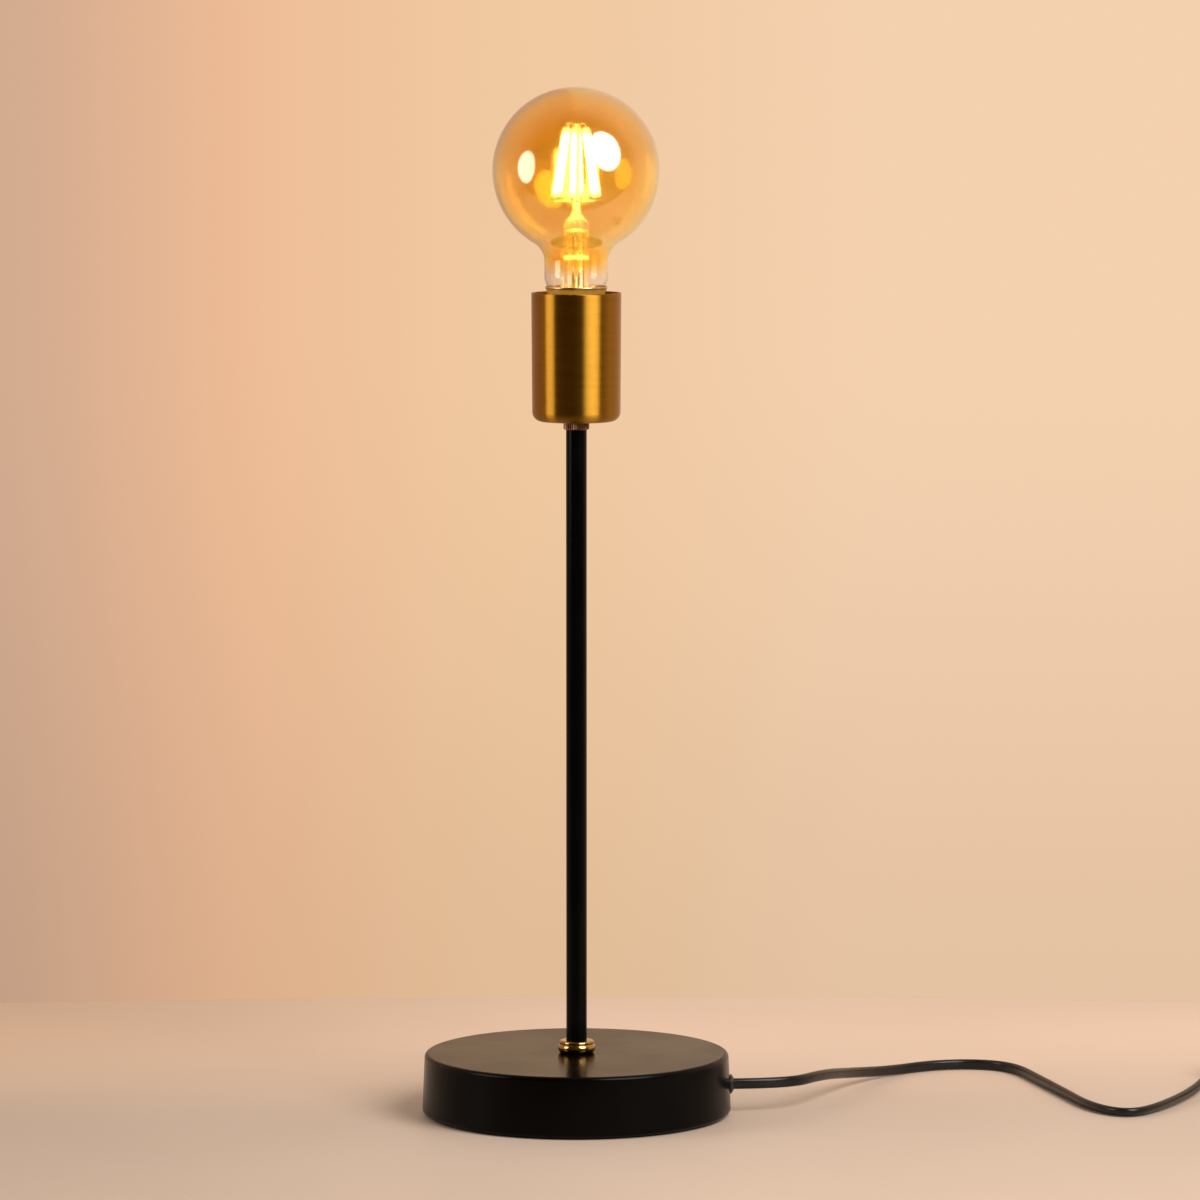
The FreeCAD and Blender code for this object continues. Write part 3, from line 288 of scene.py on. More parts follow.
table_top = make_finish("table_top", (0.92, 0.92, 0.92), (1.0, 1.0, 1.0), (0.5, 0.6),
                        patch=3.0, grain=500.0, depth=0.00001)
axes = axes_of(table_top)
to_right = map_value(table_top, axes["X"], 0.0, 1.0, *LEFT_TO_RIGHT)
to_back = map_value(table_top, axes["Y"], 0.0, 1.0, *FRONT_TO_BEHIND)
# Painted light is mixed into the table's colour here.
tone = mix_colours(table_top, to_back, mix_colours(table_top, to_right, FRONT_LEFT, FRONT_RIGHT),
                   mix_colours(table_top, to_right, BEHIND_LEFT, BEHIND_RIGHT))
speckled_and_lit = combine(table_top, "ShaderNodeVectorMath", "MULTIPLY", colour_of(table_top), tone)
beyond = map_value(table_top, axes["Y"], 1.0, 0.0, *DARK_TO_SEEN)
rays = table_top.node_tree.nodes.new("ShaderNodeLightPath")
unseen = combine(table_top, "ShaderNodeMath", "MULTIPLY", rays.outputs["Is Glossy Ray"], beyond)
feed(table_top, "Base Color", mix_colours(table_top, unseen, speckled_and_lit, MIRRORED_DARK))

bm = bmesh.new()
bmesh.ops.create_circle(bm, cap_ends=True, segments=360, radius=TABLE_RADIUS,
                        matrix=Matrix.Translation((0.0, TABLE_BACK - TABLE_RADIUS, 0.0)))
slab = bmesh.ops.extrude_face_region(bm, geom=bm.faces[:])
lowered = [part for part in slab["geom"] if isinstance(part, bmesh.types.BMVert)]
bmesh.ops.translate(bm, verts=lowered, vec=(0.0, 0.0, -TABLE_THICK))
bmesh.ops.recalc_face_normals(bm, faces=bm.faces[:])
table_mesh = bpy.data.meshes.new("table")
bm.to_mesh(table_mesh)
bm.free()
table_mesh.materials.append(table_top)
table = bpy.data.objects.new("table", table_mesh)
bpy.context.scene.collection.objects.link(table)
print("table radius", TABLE_RADIUS, "m, far edge", TABLE_BACK, "m behind the lamp")

# %% Wall and room, as the world
# Painted light: the wall's tones grow lighter towards the right, as the big soft box would light
# it.
WALL_LEFT = (0.63, 0.40, 0.275)
WALL_STEPS = (
    (-0.098, -0.045, (0.85, 0.495, 0.300)),
    (-0.065, -0.005, (0.875, 0.585, 0.355)),
    (-0.010, 0.050, (0.90, 0.63, 0.425)))
WALL_FOOT_LEVEL = 0.85
WALL_FOOT_TO_FULL = (-0.172, -0.05)
ROOM_LIGHT = (1.0, 0.86, 0.74)
ROOM_LEVEL = 0.465
DARK_SIDE = 0.12
DARK_TO_WALL = (-0.45, 0.15)

world = bpy.data.worlds.new("room")
bpy.context.scene.world = world
world.use_nodes = True
nodes, links = world.node_tree.nodes, world.node_tree.links
nodes.clear()
direction = axes_of(world, "Generated")
wall = WALL_LEFT
for start, end, next_tone in WALL_STEPS:
    passed = map_value(world, direction["X"], 0.0, 1.0, start, end)
    wall = mix_colours(world, passed, wall, next_tone)
# The wall is darker towards its foot.
level = map_value(world, direction["Z"], WALL_FOOT_LEVEL, 1.0, *WALL_FOOT_TO_FULL)
wall = combine(world, "ShaderNodeVectorMath", "SCALE", wall, level)
behind = map_value(world, direction["Y"], DARK_SIDE, 1.0, *DARK_TO_WALL)
seen_in_gloss = mix_colours(world, behind, (0.0, 0.0, 0.0), wall)
rays = nodes.new("ShaderNodeLightPath")
mirrored = combine(world, "ShaderNodeMath", "MAXIMUM", rays.outputs["Is Glossy Ray"],
                   rays.outputs["Is Transmission Ray"])
lit = tuple(channel * ROOM_LEVEL for channel in ROOM_LIGHT)
colour = mix_colours(world, mirrored, lit, seen_in_gloss)
colour = mix_colours(world, rays.outputs["Is Camera Ray"], colour, wall)
background = nodes.new("ShaderNodeBackground")
output = nodes.new("ShaderNodeOutputWorld")
links.new(colour, background.inputs["Color"])
links.new(background.outputs["Background"], output.inputs["Surface"])
world.cycles.sampling_method = "NONE"
print("room light", [round(channel, 2) for channel in lit])

# %% [markdown]
# ## The soft boxes
#
# A large oval light stands on the right, in front, and a small one on the left. They make the
# stripes on the brass and the bright ovals in the globe. The room gives the rest of the light.

# %% Two soft boxes
BULB_MIDDLE = Vector((0.0, 0.0, 0.457))


def soft_box(name, towards, distance, width, height, power, tint):
    """An oval soft light that faces the bulb from a direction."""
    data = bpy.data.lights.new(name, "AREA")
    data.shape = "ELLIPSE"
    data.size, data.size_y = width, height
    data.energy = power
    data.color = tint
    lamp = bpy.data.objects.new(name, data)
    towards = Vector(towards).normalized()
    lamp.location = BULB_MIDDLE + towards * distance
    lamp.rotation_euler = towards.to_track_quat("Z", "Y").to_euler()
    bpy.context.scene.collection.objects.link(lamp)
    print(name, "at", [round(v, 2) for v in lamp.location])


soft_box("soft_box_right", towards=(0.630, -0.637, 0.444), distance=1.2, width=0.90, height=1.14,
         power=24.5, tint=(1.0, 0.96, 0.92))
soft_box("soft_box_left", towards=(-0.951, -0.300, 0.080), distance=1.0, width=0.50, height=0.62,
         power=4.7, tint=(1.0, 0.93, 0.87))

# %% [markdown]
# ## The lead
#
# The lead is one length of flat two-core flex, 5.3 by 3.3 mm. It could be a swept mesh, but a
# curve keeps its own line editable: a smooth NURBS spline through the air, with a bevel for the
# round edges and an extrusion for the flat width. The flex stands on its narrow edge, because
# that is the way it bends most easily, and each point's tilt lets it twist on its way.

# %% The lead's route
FLEX_WIDTH = 5.3 * MM
FLEX_THICK = 3.3 * MM


def points_of(rows):
    """Route points from millimetres, each with its tilt in degrees."""
    return [(Vector((x, y, z)) * MM, math.radians(tilt)) for x, y, z, tilt in rows]


table_run = points_of([
    (66.64, 0, 14.4, 0), (103, 0, 14.4, 0), (121, 33, 13.5, 0), (137, 75, 7, 5),
    (157, 105, 2.8, 10), (179, 122.5, 2.8, 15), (203, 126, 2.8, 15), (221.5, 114, 2.8, 8),
    (230.5, 78, 2.8, 5), (240.5, 40, 2.8, 18), (250.5, 1.5, 2.6, 40), (266, -16, 2.4, 55),
    (281, -2.5, 2.6, 40), (302, 36.5, 3.4, 10), (312.5, 62.5, 6.5, 0), (326, 84, 6.5, 0)])
SWITCH_IN = table_run[-1][0]
SWITCH_ALONG = (table_run[-1][0] - table_run[-2][0]).normalized()
SWITCH_LENGTH = 60 * MM
SWITCH_OUT = SWITCH_IN + SWITCH_ALONG * SWITCH_LENGTH

COIL_MIDDLE = Vector((379, 66, 0)) * MM
COIL_RADIUS = 34.0 * MM
COIL_PITCH = 4.2 * MM
COIL_START = -8.0
COIL_TURNED = 2512.0
COIL_CLIMB = 180.0
COIL_LOW = 3.6 * MM
COIL_HIGH = 9.2 * MM
TURN_POINTS = 16
AFTER_SWITCH = 24 * MM
BEFORE_COIL = (30 * MM, 8 * MM)
AFTER_COIL = (9 * MM, 27 * MM)


def coil_point(wound):
    """A place in the coil after winding some degrees clockwise: in, up one layer, and out."""
    layer = (COIL_TURNED - COIL_CLIMB) / 2
    to_end = COIL_TURNED - wound
    radius = COIL_RADIUS - COIL_PITCH * min(wound, to_end, layer) / 360
    share = min(max((wound - layer) / COIL_CLIMB, 0.0), 1.0)
    height = COIL_LOW + (COIL_HIGH - COIL_LOW) * share * share * (3 - 2 * share)
    turn = math.radians(COIL_START - wound)
    return COIL_MIDDLE + Vector((radius * math.cos(turn), radius * math.sin(turn), height))


def coil_heading(wound):
    """The direction in which the coil runs on after some degrees."""
    turn = math.radians(COIL_START - wound)
    return Vector((math.sin(turn), -math.cos(turn), 0.0))


step = 360 / TURN_POINTS
count = int(COIL_TURNED / step)
coil_run = [(coil_point(COIL_TURNED * i / count), 0.0) for i in range(count + 1)]
coil_in, coil_out = coil_run[0][0], coil_run[-1][0]
lead_in = [(SWITCH_OUT, 0.0), (SWITCH_OUT + SWITCH_ALONG * AFTER_SWITCH, 0.0)]
lead_in += points_of([(395.5, 157.8, 3.2, 0), (413, 142, 2.7, 0), (419, 115.5, 2.8, 0)])
lead_in += [(coil_in - coil_heading(0) * reach, 0.0) for reach in BEFORE_COIL]
tail = [(coil_out + coil_heading(COIL_TURNED) * reach, 0.0) for reach in AFTER_COIL]
tail += points_of([(408, 16, 6.85, 0), (388, 4.5, 6.85, 0)])
lead_points = table_run + lead_in + coil_run + tail
print("route points:", len(lead_points), "of which", len(coil_run), "are the coil's")

# %% The lead as a curve
black_flex = make_finish("black_flex", (0.006, 0.006, 0.006), (0.012, 0.011, 0.011), (0.20, 0.30),
                         patch=90.0, grain=2500.0, depth=0.000012, IOR=1.33)


def spline_curve(name, points):
    """A smooth open NURBS spline with these control points and tilts."""
    curve = bpy.data.curves.new(name, "CURVE")
    curve.dimensions = "3D"
    curve.twist_mode = "Z_UP"
    curve.resolution_u = 6
    spline = curve.splines.new("NURBS")
    spline.points.add(len(points) - 1)
    for control, (place, tilt) in zip(spline.points, points):
        control.co = (*place, 1.0)
        control.tilt = tilt
    spline.order_u = 3
    spline.use_endpoint_u = True
    return curve


def line_of(curve):
    """The points of a curve's own line, before it has any thickness."""
    bare = bpy.data.objects.new("bare_line", curve)
    bpy.context.scene.collection.objects.link(bare)
    mesh = bpy.data.meshes.new_from_object(bare)
    line = [v.co.copy() for v in mesh.vertices]
    bpy.data.objects.remove(bare)
    bpy.data.meshes.remove(mesh)
    return line


flex_curve = spline_curve("lead", lead_points)
flex_line = line_of(flex_curve)
flex_length = sum((b - a).length for a, b in zip(flex_line, flex_line[1:]))
flex_curve.extrude = (FLEX_WIDTH - FLEX_THICK) / 2
flex_curve.bevel_depth = FLEX_THICK / 2
flex_curve.bevel_resolution = 4
flex_curve.use_fill_caps = True
flex_curve.materials.append(black_flex)
lead = bpy.data.objects.new("lead", flex_curve)
bpy.context.scene.collection.objects.link(lead)
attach(lead, "lamp")
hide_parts("cord_run", "cord_lead", "cord_coil", "cord_tail")
print("lead is %.3f m long" % flex_length)

# %% [markdown]
# ## The tie round the coil
#
# A soft strap holds the put-away turns. It is a flat ring round the coil's section: a rounded
# rectangle outline, thickened, with a woven look.

# %% Tie
TIE_WIDTH = 9.0 * MM
TIE_THICK = 0.8 * MM
TIE_ROUNDING = 2.4 * MM
ROOM_INSIDE = 0.6 * MM
ROOM_OUTSIDE = 0.1 * MM
ROOM_ABOVE = 0.2 * MM
tie_strap = make_finish("tie_strap", (0.010, 0.010, 0.011), (0.022, 0.021, 0.021), (0.75, 0.9),
                        patch=300.0, grain=3000.0, depth=0.00015, Sheen_Weight=0.3)
layer_turns = (COIL_TURNED - COIL_CLIMB) / 2 / 360
inner_turn = COIL_RADIUS - COIL_PITCH * layer_turns
tie_inner = inner_turn - FLEX_THICK / 2 - ROOM_INSIDE
tie_outer = COIL_RADIUS + FLEX_THICK / 2 + ROOM_OUTSIDE
tie_top = COIL_HIGH + FLEX_WIDTH / 2 + ROOM_ABOVE
bm = bmesh.new()
span = (tie_outer - tie_inner + 2 * TIE_THICK, TIE_WIDTH, tie_top + TIE_THICK)
middle = ((tie_outer + tie_inner) / 2, 0.0, (tie_top + TIE_THICK) / 2)
box = Matrix.Translation(middle) @ Matrix.Diagonal((*span, 1.0))
bmesh.ops.create_cube(bm, size=1.0, matrix=box)
open_sides = [f for f in bm.faces if abs(f.normal.y) > 0.9]
bmesh.ops.delete(bm, geom=open_sides, context="FACES_ONLY")
corners = [e for e in bm.edges if abs(e.verts[0].co.y - e.verts[1].co.y) > TIE_WIDTH / 2]
bmesh.ops.bevel(bm, geom=corners, offset=TIE_ROUNDING, segments=8, profile=0.5, affect="EDGES",
                material=-1)
bmesh.ops.recalc_face_normals(bm, faces=bm.faces[:])
bmesh.ops.solidify(bm, geom=bm.faces[:], thickness=TIE_THICK)
bmesh.ops.recalc_face_normals(bm, faces=bm.faces[:])
bmesh.ops.rotate(bm, verts=bm.verts[:], cent=(0, 0, 0), matrix=Matrix.Rotation(math.pi, 3, "Z"))
bmesh.ops.translate(bm, verts=bm.verts[:], vec=COIL_MIDDLE)
tie = new_piece(bm, "coil_tie", "lamp", tie_strap, ["cord_tie"])
print("tie stands %.1f mm high" % (tie.dimensions.z * 1000))

node = frame["nodes"]

# %% [markdown]
# ## Black paint, brass and the other finishes of the solids
#
# The base and stem are sprayed with a half-matt black that has a faint orange peel. A low index
# keeps its front face black, while the top still mirrors the wall at a shallow angle. The cup's
# fine brush lines run round it, and draw every reflection out into an upright stripe. The cap's
# flare carries the bulb's spilled light: a glow that is strongest at the height of the cup's rim.

# %% Painted and cast pieces
black_paint = make_finish("black_paint", (0.0008, 0.0007, 0.0006), (0.0016, 0.0014, 0.0012),
                          (0.19, 0.25), patch=25.0, grain=1100.0, depth=0.000004, IOR=1.16)
cast_iron = make_finish("cast_iron", (0.030, 0.029, 0.028), (0.055, 0.052, 0.050), (0.7, 0.85),
                        patch=120.0, grain=700.0, depth=0.0002)
zinc_steel = make_finish("zinc_steel", (0.55, 0.55, 0.56), (0.68, 0.68, 0.67), (0.28, 0.42),
                         patch=150.0, grain=1500.0, depth=0.00001, Metallic=1.0)
foam_pad = make_finish("foam_pad", (0.006, 0.006, 0.006), (0.014, 0.014, 0.014), (0.85, 0.95),
                       patch=400.0, grain=2200.0, depth=0.0002)
print("painted, cast, plated and foam finishes ready")

# %% Brass finishes
SPILL_COLOUR = (1.0, 0.47, 0.06)
SPILL_LEVEL = 0.32
SPILL_LEFT_ABOVE = 0.1
DARK_TO_SPILL = (0.3962, 0.3988)
SPILL_TO_RIM = (0.3998, 0.4010)

polished_brass = make_finish("polished_brass", (0.37, 0.235, 0.07), (0.44, 0.28, 0.09),
                             (0.07, 0.13), patch=200.0, grain=1500.0, depth=0.000004,
                             Metallic=1.0)
dark_bronze = make_finish("dark_bronze", (0.16, 0.075, 0.035), (0.27, 0.14, 0.075), (0.32, 0.45),
                          patch=250.0, grain=1500.0, depth=0.00001, Metallic=1.0)
antique_brass = make_finish("antique_brass", (0.31, 0.150, 0.014), (0.34, 0.170, 0.019),
                            (0.35, 0.39), patch=60.0, grain=500.0, stretch=(1, 1, 9),
                            depth=0.0000025, Metallic=1.0, Anisotropic=1.0)
upright = antique_brass.node_tree.nodes.new("ShaderNodeCombineXYZ")
upright.inputs["Z"].default_value = 1.0
feed(antique_brass, "Tangent", upright.outputs["Vector"])
contact_brass = make_finish("contact_brass", (0.60, 0.42, 0.17), (0.72, 0.53, 0.25), (0.2, 0.35),
                            patch=300.0, grain=1500.0, depth=0.00001, Metallic=1.0)
cap_brass = make_finish("cap_brass", (0.55, 0.37, 0.16), (0.68, 0.48, 0.24), (0.25, 0.4),
                        patch=250.0, grain=1500.0, depth=0.00001, Metallic=1.0)
height = axes_of(cap_brass)["Z"]
rising = map_value(cap_brass, height, 0.0, SPILL_LEVEL, *DARK_TO_SPILL)
fading = map_value(cap_brass, height, 1.0, SPILL_LEFT_ABOVE, *SPILL_TO_RIM)
feed(cap_brass, "Emission Strength",
     combine(cap_brass, "ShaderNodeMath", "MULTIPLY", rising, fading))
shader_of(cap_brass).inputs["Emission Color"].default_value = (*SPILL_COLOUR, 1.0)
cap_brass.cycles.emission_sampling = "NONE"
nickel_wire = make_finish("nickel_wire", (0.55, 0.52, 0.48), (0.70, 0.67, 0.62), (0.2, 0.3),
                          patch=400.0, grain=2000.0, depth=0.000004, Metallic=1.0)
plug_nickel = make_finish("plug_nickel", (0.62, 0.60, 0.56), (0.74, 0.72, 0.68), (0.14, 0.24),
                          patch=300.0, grain=1500.0, depth=0.000006, Metallic=1.0)
print("metal finishes ready")

# %% Plastic and board finishes
black_moulding = make_finish("black_moulding", (0.008, 0.008, 0.008), (0.014, 0.013, 0.012),
                             (0.35, 0.5), patch=80.0, grain=1600.0, depth=0.00002)
black_fitting = make_finish("black_fitting", (0.009, 0.009, 0.009), (0.016, 0.015, 0.015),
                            (0.38, 0.5), patch=70.0, grain=2600.0, depth=0.00003)
black_insulator = make_finish("black_insulator", (0.006, 0.005, 0.009), (0.012, 0.010, 0.016),
                              (0.05, 0.15), patch=200.0, grain=900.0, depth=0.00001)
core_brown = make_finish("core_brown", (0.10, 0.035, 0.015), (0.14, 0.05, 0.02), (0.3, 0.4),
                         patch=200.0, grain=1200.0, depth=0.00001)
circuit_board = make_finish("circuit_board", (0.012, 0.09, 0.035), (0.02, 0.13, 0.05), (0.35, 0.5),
                            patch=300.0, grain=1500.0, depth=0.00002)
print("plastic and board finishes ready")

# %% [markdown]
# ## The bulb
#
# The globe is blown glass, 0.9 mm thick, with an amber coat that stops where the neck begins.
# Glass looks right only as a closed wall with an outer and an inner face, so its whole section is
# drawn with the pen and spun. The amber is a colour that fades out along the lamp's axis, and the
# coat is a second, more reflecting layer that fades out with it. The neck below stays plain glass.
# The coat also carries painted light: a glow for the filaments' light that it catches, stronger
# below, and stronger towards the right, on the right soft box's side.
# Towards the globe's outline its colour is painted lighter: a painted reflection of the bright
# wall.

# %% Glass finishes
CLEAR = (0.99, 0.98, 0.96)
AMBER, AMBER_LIGHTER = (0.925, 0.62, 0.13), (0.94, 0.64, 0.15)
CLEAR_TO_AMBER = (0.4040, 0.4160)
BARE_TO_COATED = (0.4160, 0.4240)
# Painted reflection: the colour the glass turns towards its outline, where it would mirror the
# bright wall.
PAINTED_RIM_REFLECTION = (0.99, 0.87, 0.58)
FACING_TO_RIM = (0.22, 0.60)
# Painted light: the glow of the coat, for the light it catches.
HAZE_GLOW = (1.0, 0.74, 0.20)
HAZE_BELOW, HAZE_ABOVE = 0.042, 0.008
BELOW_TO_ABOVE = (0.446, 0.474)
HAZE_LEFT, HAZE_RIGHT = 0.80, 1.55
ACROSS_THE_GLOBE = (-0.03, 0.03)

amber_glass = make_finish("amber_glass", AMBER, AMBER_LIGHTER, (0.085, 0.105), patch=40.0,
                          grain=60.0, depth=0.00002, IOR=1.45, Transmission_Weight=1.0,
                          Coat_IOR=1.7, Coat_Roughness=0.09)
axes = axes_of(amber_glass)
feed(amber_glass, "Coat Weight", map_value(amber_glass, axes["Z"], 0.0, 1.0, *BARE_TO_COATED))
# Painted reflection: a lighter colour where the glass is seen at a grazing angle.
facing = amber_glass.node_tree.nodes.new("ShaderNodeLayerWeight")
rim = map_value(amber_glass, facing.outputs["Facing"], 0.0, 1.0, *FACING_TO_RIM)
tint_and_rim_reflection = mix_colours(amber_glass, rim, colour_of(amber_glass), PAINTED_RIM_REFLECTION)
coat = map_value(amber_glass, axes["Z"], 0.0, 1.0, *CLEAR_TO_AMBER)
feed(amber_glass, "Base Color", mix_colours(amber_glass, coat, CLEAR, tint_and_rim_reflection))
# Painted light: the coat glows, stronger below and towards the right.
feed(amber_glass, "Emission Color", mix_colours(amber_glass, coat, (0.0, 0.0, 0.0), HAZE_GLOW))
upwards = map_value(amber_glass, axes["Z"], HAZE_BELOW, HAZE_ABOVE, *BELOW_TO_ABOVE)
across = map_value(amber_glass, axes["X"], HAZE_LEFT, HAZE_RIGHT, *ACROSS_THE_GLOBE)
feed(amber_glass, "Emission Strength",
     combine(amber_glass, "ShaderNodeMath", "MULTIPLY", upwards, across))
amber_glass.cycles.emission_sampling = "NONE"
print("amber from z =", CLEAR_TO_AMBER[1])

# %% [markdown]
# ## Glass that carries the light
#
# The clear mount inside the bulb guides the filaments' light. It could only be lit by them, but
# its brightest places would then be noise. So its glow is a ladder of colours along its height:
# dim in the neck, a white ring where the flare meets the tube, and white again from the shoulder
# up. The grain, drawn out along the axis, breaks the glow into streaks.

# %% Mount glass
GLOW_FROM, GLOW_TO = 0.399, 0.480
GLOW_STOPS = (
    (0.3995, (0.7, 0.45, 0.05)), (0.4015, (0.7, 0.45, 0.05)), (0.4040, (0.30, 0.17, 0.04)),
    (0.4144, (0.34, 0.19, 0.04)), (0.4153, (2.6, 2.3, 1.8)), (0.4163, (2.6, 2.3, 1.8)),
    (0.4174, (0.55, 0.27, 0.01)), (0.4290, (0.60, 0.32, 0.015)), (0.4318, (1.6, 1.3, 0.40)),
    (0.4350, (5.0, 4.6, 4.0)), (0.4720, (5.0, 4.6, 4.0)), (0.4790, (3.0, 2.4, 1.0)))
GLOW_STRENGTH = 0.22
STREAK_DIM, STREAK_BRIGHT = 0.35, 1.6
DIM_TO_BRIGHT = (0.4, 0.6)

lit_glass = make_finish("lit_glass", (0.99, 0.93, 0.78), (0.995, 0.96, 0.86), (0.02, 0.05),
                        patch=300.0, grain=900.0, stretch=(1, 1, 0.02), depth=0.00004, IOR=1.5,
                        Transmission_Weight=1.0)
nodes, links = lit_glass.node_tree.nodes, lit_glass.node_tree.links
level = nodes.new("ShaderNodeMapRange")
set_sockets(level, {"From Min": GLOW_FROM, "From Max": GLOW_TO})
links.new(axes_of(lit_glass)["Z"], level.inputs["Value"])
ladder = nodes.new("ShaderNodeValToRGB")
stops = ladder.color_ramp.elements
while len(stops) < len(GLOW_STOPS):
    stops.new(0.5)
for stop, (height, tint) in zip(stops, GLOW_STOPS):
    stop.position = (height - GLOW_FROM) / (GLOW_TO - GLOW_FROM)
    stop.color = (*tint, 1.0)
links.new(level.outputs["Result"], ladder.inputs["Fac"])
streaks = map_value(lit_glass, nodes["grain"].outputs["Height"], STREAK_DIM, STREAK_BRIGHT,
                    *DIM_TO_BRIGHT)
feed(lit_glass, "Emission Color",
     combine(lit_glass, "ShaderNodeVectorMath", "SCALE", ladder.outputs["Color"], streaks))
shader_of(lit_glass).inputs["Emission Strength"].default_value = GLOW_STRENGTH
lit_glass.cycles.emission_sampling = "NONE"
print("glow ladder with", len(stops), "steps")

# %% The globe
CAP_RIM = 401.6 * MM
GLOBE_MIDDLE = 457.0 * MM
GLOBE_RADIUS = 40.2 * MM
NECK_RADIUS = 15.35 * MM
NECK_BLEND = 10.0 * MM
GLASS_WALL = 0.9 * MM
SEAT_RADIUS = 12.0 * MM


def draw_globe(bm, inset):
    """Draws the half outline from the top down to the seat in the cap; returns its last vertex."""
    globe, neck, blend = GLOBE_RADIUS - inset, NECK_RADIUS - inset, NECK_BLEND + inset
    reach = neck + blend
    drop = math.sqrt((globe + blend) ** 2 - reach ** 2)
    lean = math.degrees(math.asin(reach / (globe + blend)))
    pen = bm.verts.new((0.0, 0.0, GLOBE_MIDDLE + globe))
    pen = pen_arc(bm, pen, 0.0, GLOBE_MIDDLE, 180 - lean, 72)
    pen = pen_arc(bm, pen, reach, GLOBE_MIDDLE - drop, lean - 90, 20)
    for x, z in ((neck, 406.7 * MM), (neck - 0.05 * MM, 405.2 * MM), (neck - 0.4 * MM, 404.1 * MM),
                 (SEAT_RADIUS - inset + 0.6 * MM, 397.8 * MM), (SEAT_RADIUS - inset, 396.4 * MM),
                 (SEAT_RADIUS - inset, 391.6 * MM)):
        pen = pen_line(bm, pen, x, z)
    return pen


bm = bmesh.new()
outer_foot = draw_globe(bm, 0.0)
inner_foot = draw_globe(bm, GLASS_WALL)
bm.edges.new((outer_foot, inner_foot))
lathe(bm, 160)
globe = new_piece(bm, "globe_glass", "bulb", amber_glass, ["bulb_glass"])
print("globe is %.1f mm across" % (globe.dimensions.x * 1000))

# %% [markdown]
# ## The cap's thread
#
# The cap is rolled from sheet, so its thread is a soft wave. A plain shell is spun first. Then one
# wave, as high as the thread's pitch, is spun about the axis while it climbs by one pitch a turn.

# %% The threaded cap
THREAD_PITCH = 3.629 * MM
THREAD_CREST = 13.1 * MM
THREAD_ROOT = 12.4 * MM
THREAD_UNDER = 0.15 * MM
THREAD_TURNS = 2.85
THREAD_STEPS = 56
WAVE_POINTS = 6
CAP_FOOT = 379.3 * MM
THREAD_FOOT = CAP_FOOT + 3.0 * MM
FLARE_FOOT = CAP_RIM - 5.2 * MM
FLARE_RADIUS = 15.0 * MM
SHEET = 0.3 * MM

bm = bmesh.new()
outline = [(9.7 * MM, CAP_FOOT), (11.9 * MM, CAP_FOOT + 2.1 * MM),
           (THREAD_ROOT - 0.1 * MM, CAP_FOOT + 2.7 * MM), (THREAD_ROOT, CAP_FOOT + 3.4 * MM),
           (THREAD_ROOT, FLARE_FOOT - 1.0 * MM), (THREAD_ROOT + 0.25 * MM, FLARE_FOOT - 0.3 * MM),
           (THREAD_CREST, FLARE_FOOT + 0.4 * MM), (FLARE_RADIUS - 0.15 * MM, CAP_RIM - 0.9 * MM),
           (FLARE_RADIUS, CAP_RIM - 0.3 * MM), (FLARE_RADIUS - 0.08 * MM, CAP_RIM - 0.06 * MM),
           (FLARE_RADIUS - SHEET / 2, CAP_RIM)]
first = pen = bm.verts.new((outline[0][0], 0.0, outline[0][1]))
for x, z in outline[1:]:
    pen = pen_line(bm, pen, x, z)
for x, z in reversed(outline[:-1]):
    pen = pen_line(bm, pen, x - SHEET, z)
bm.edges.new((pen, first))
lathe(bm, 112)

half = THREAD_PITCH / 2
wave = [(THREAD_ROOT + (THREAD_CREST - THREAD_ROOT) * (1 + math.cos(math.pi * i / WAVE_POINTS)) / 2,
         half * i / WAVE_POINTS) for i in range(-WAVE_POINTS, WAVE_POINTS + 1)]
wave = [(THREAD_ROOT - THREAD_UNDER, -half)] + wave + [(THREAD_ROOT - THREAD_UNDER, half)]
corners = [bm.verts.new((x, 0.0, THREAD_FOOT + half + z)) for x, z in wave]
sides = [bm.edges.new((a, b)) for a, b in zip(corners, corners[1:] + corners[:1])]
turns = bmesh.ops.spin(bm, geom=corners + sides, cent=(0, 0, 0), axis=(0, 0, 1),
                       dvec=(0, 0, THREAD_PITCH / THREAD_STEPS), angle=math.tau * THREAD_TURNS,
                       steps=round(THREAD_STEPS * THREAD_TURNS))
bm.faces.new(corners)
ends = [part for part in turns["geom_last"] if isinstance(part, bmesh.types.BMEdge)]
bmesh.ops.contextual_create(bm, geom=ends)
bmesh.ops.recalc_face_normals(bm, faces=bm.faces[:])
cap = new_piece(bm, "threaded_cap", "bulb", cap_brass, ["bulb_cap"])
print("thread of %.1f turns, cap %.1f mm high" % (THREAD_TURNS, cap.dimensions.z * 1000))

# %% [markdown]
# ## The filaments
#
# Six thin glass strips coated with phosphor lean together like the poles of a tent. Lit, they are
# far brighter than anything else, so they are plain glowing rods with rounded ends, dimmer and
# yellower at their tips, held in small nickel clips. Diffuse surfaces don't see them: the room's
# light stands in for theirs, without the noise that such small bright rods would give.

# %% Filament strips
FILAMENT_COUNT = 6
FILAMENT_TURN = 20.0
TOP_CIRCLE, TOP_LEVEL = 5.0 * MM, 479.1 * MM
FOOT_CIRCLE, FOOT_LEVEL = 11.4 * MM, 443.1 * MM
STRIP_RADIUS = 1.35 * MM
STRIP_ROUNDING = STRIP_RADIUS * 0.8
CLIP_LENGTH = 1.6 * MM
CLIP_SHOWN = 0.8
CLIP_RADIUS = 0.5 * MM
CLIP_ROUNDING = 0.15 * MM
ROD_SEGMENTS = 20
HOT, HOT_TIP = (1.0, 0.86, 0.74), (0.012, 0.007, 0.001)
HOT_STRENGTH = 30.0
FOOT_FADE, TOP_FADE = 10 * MM, 12 * MM

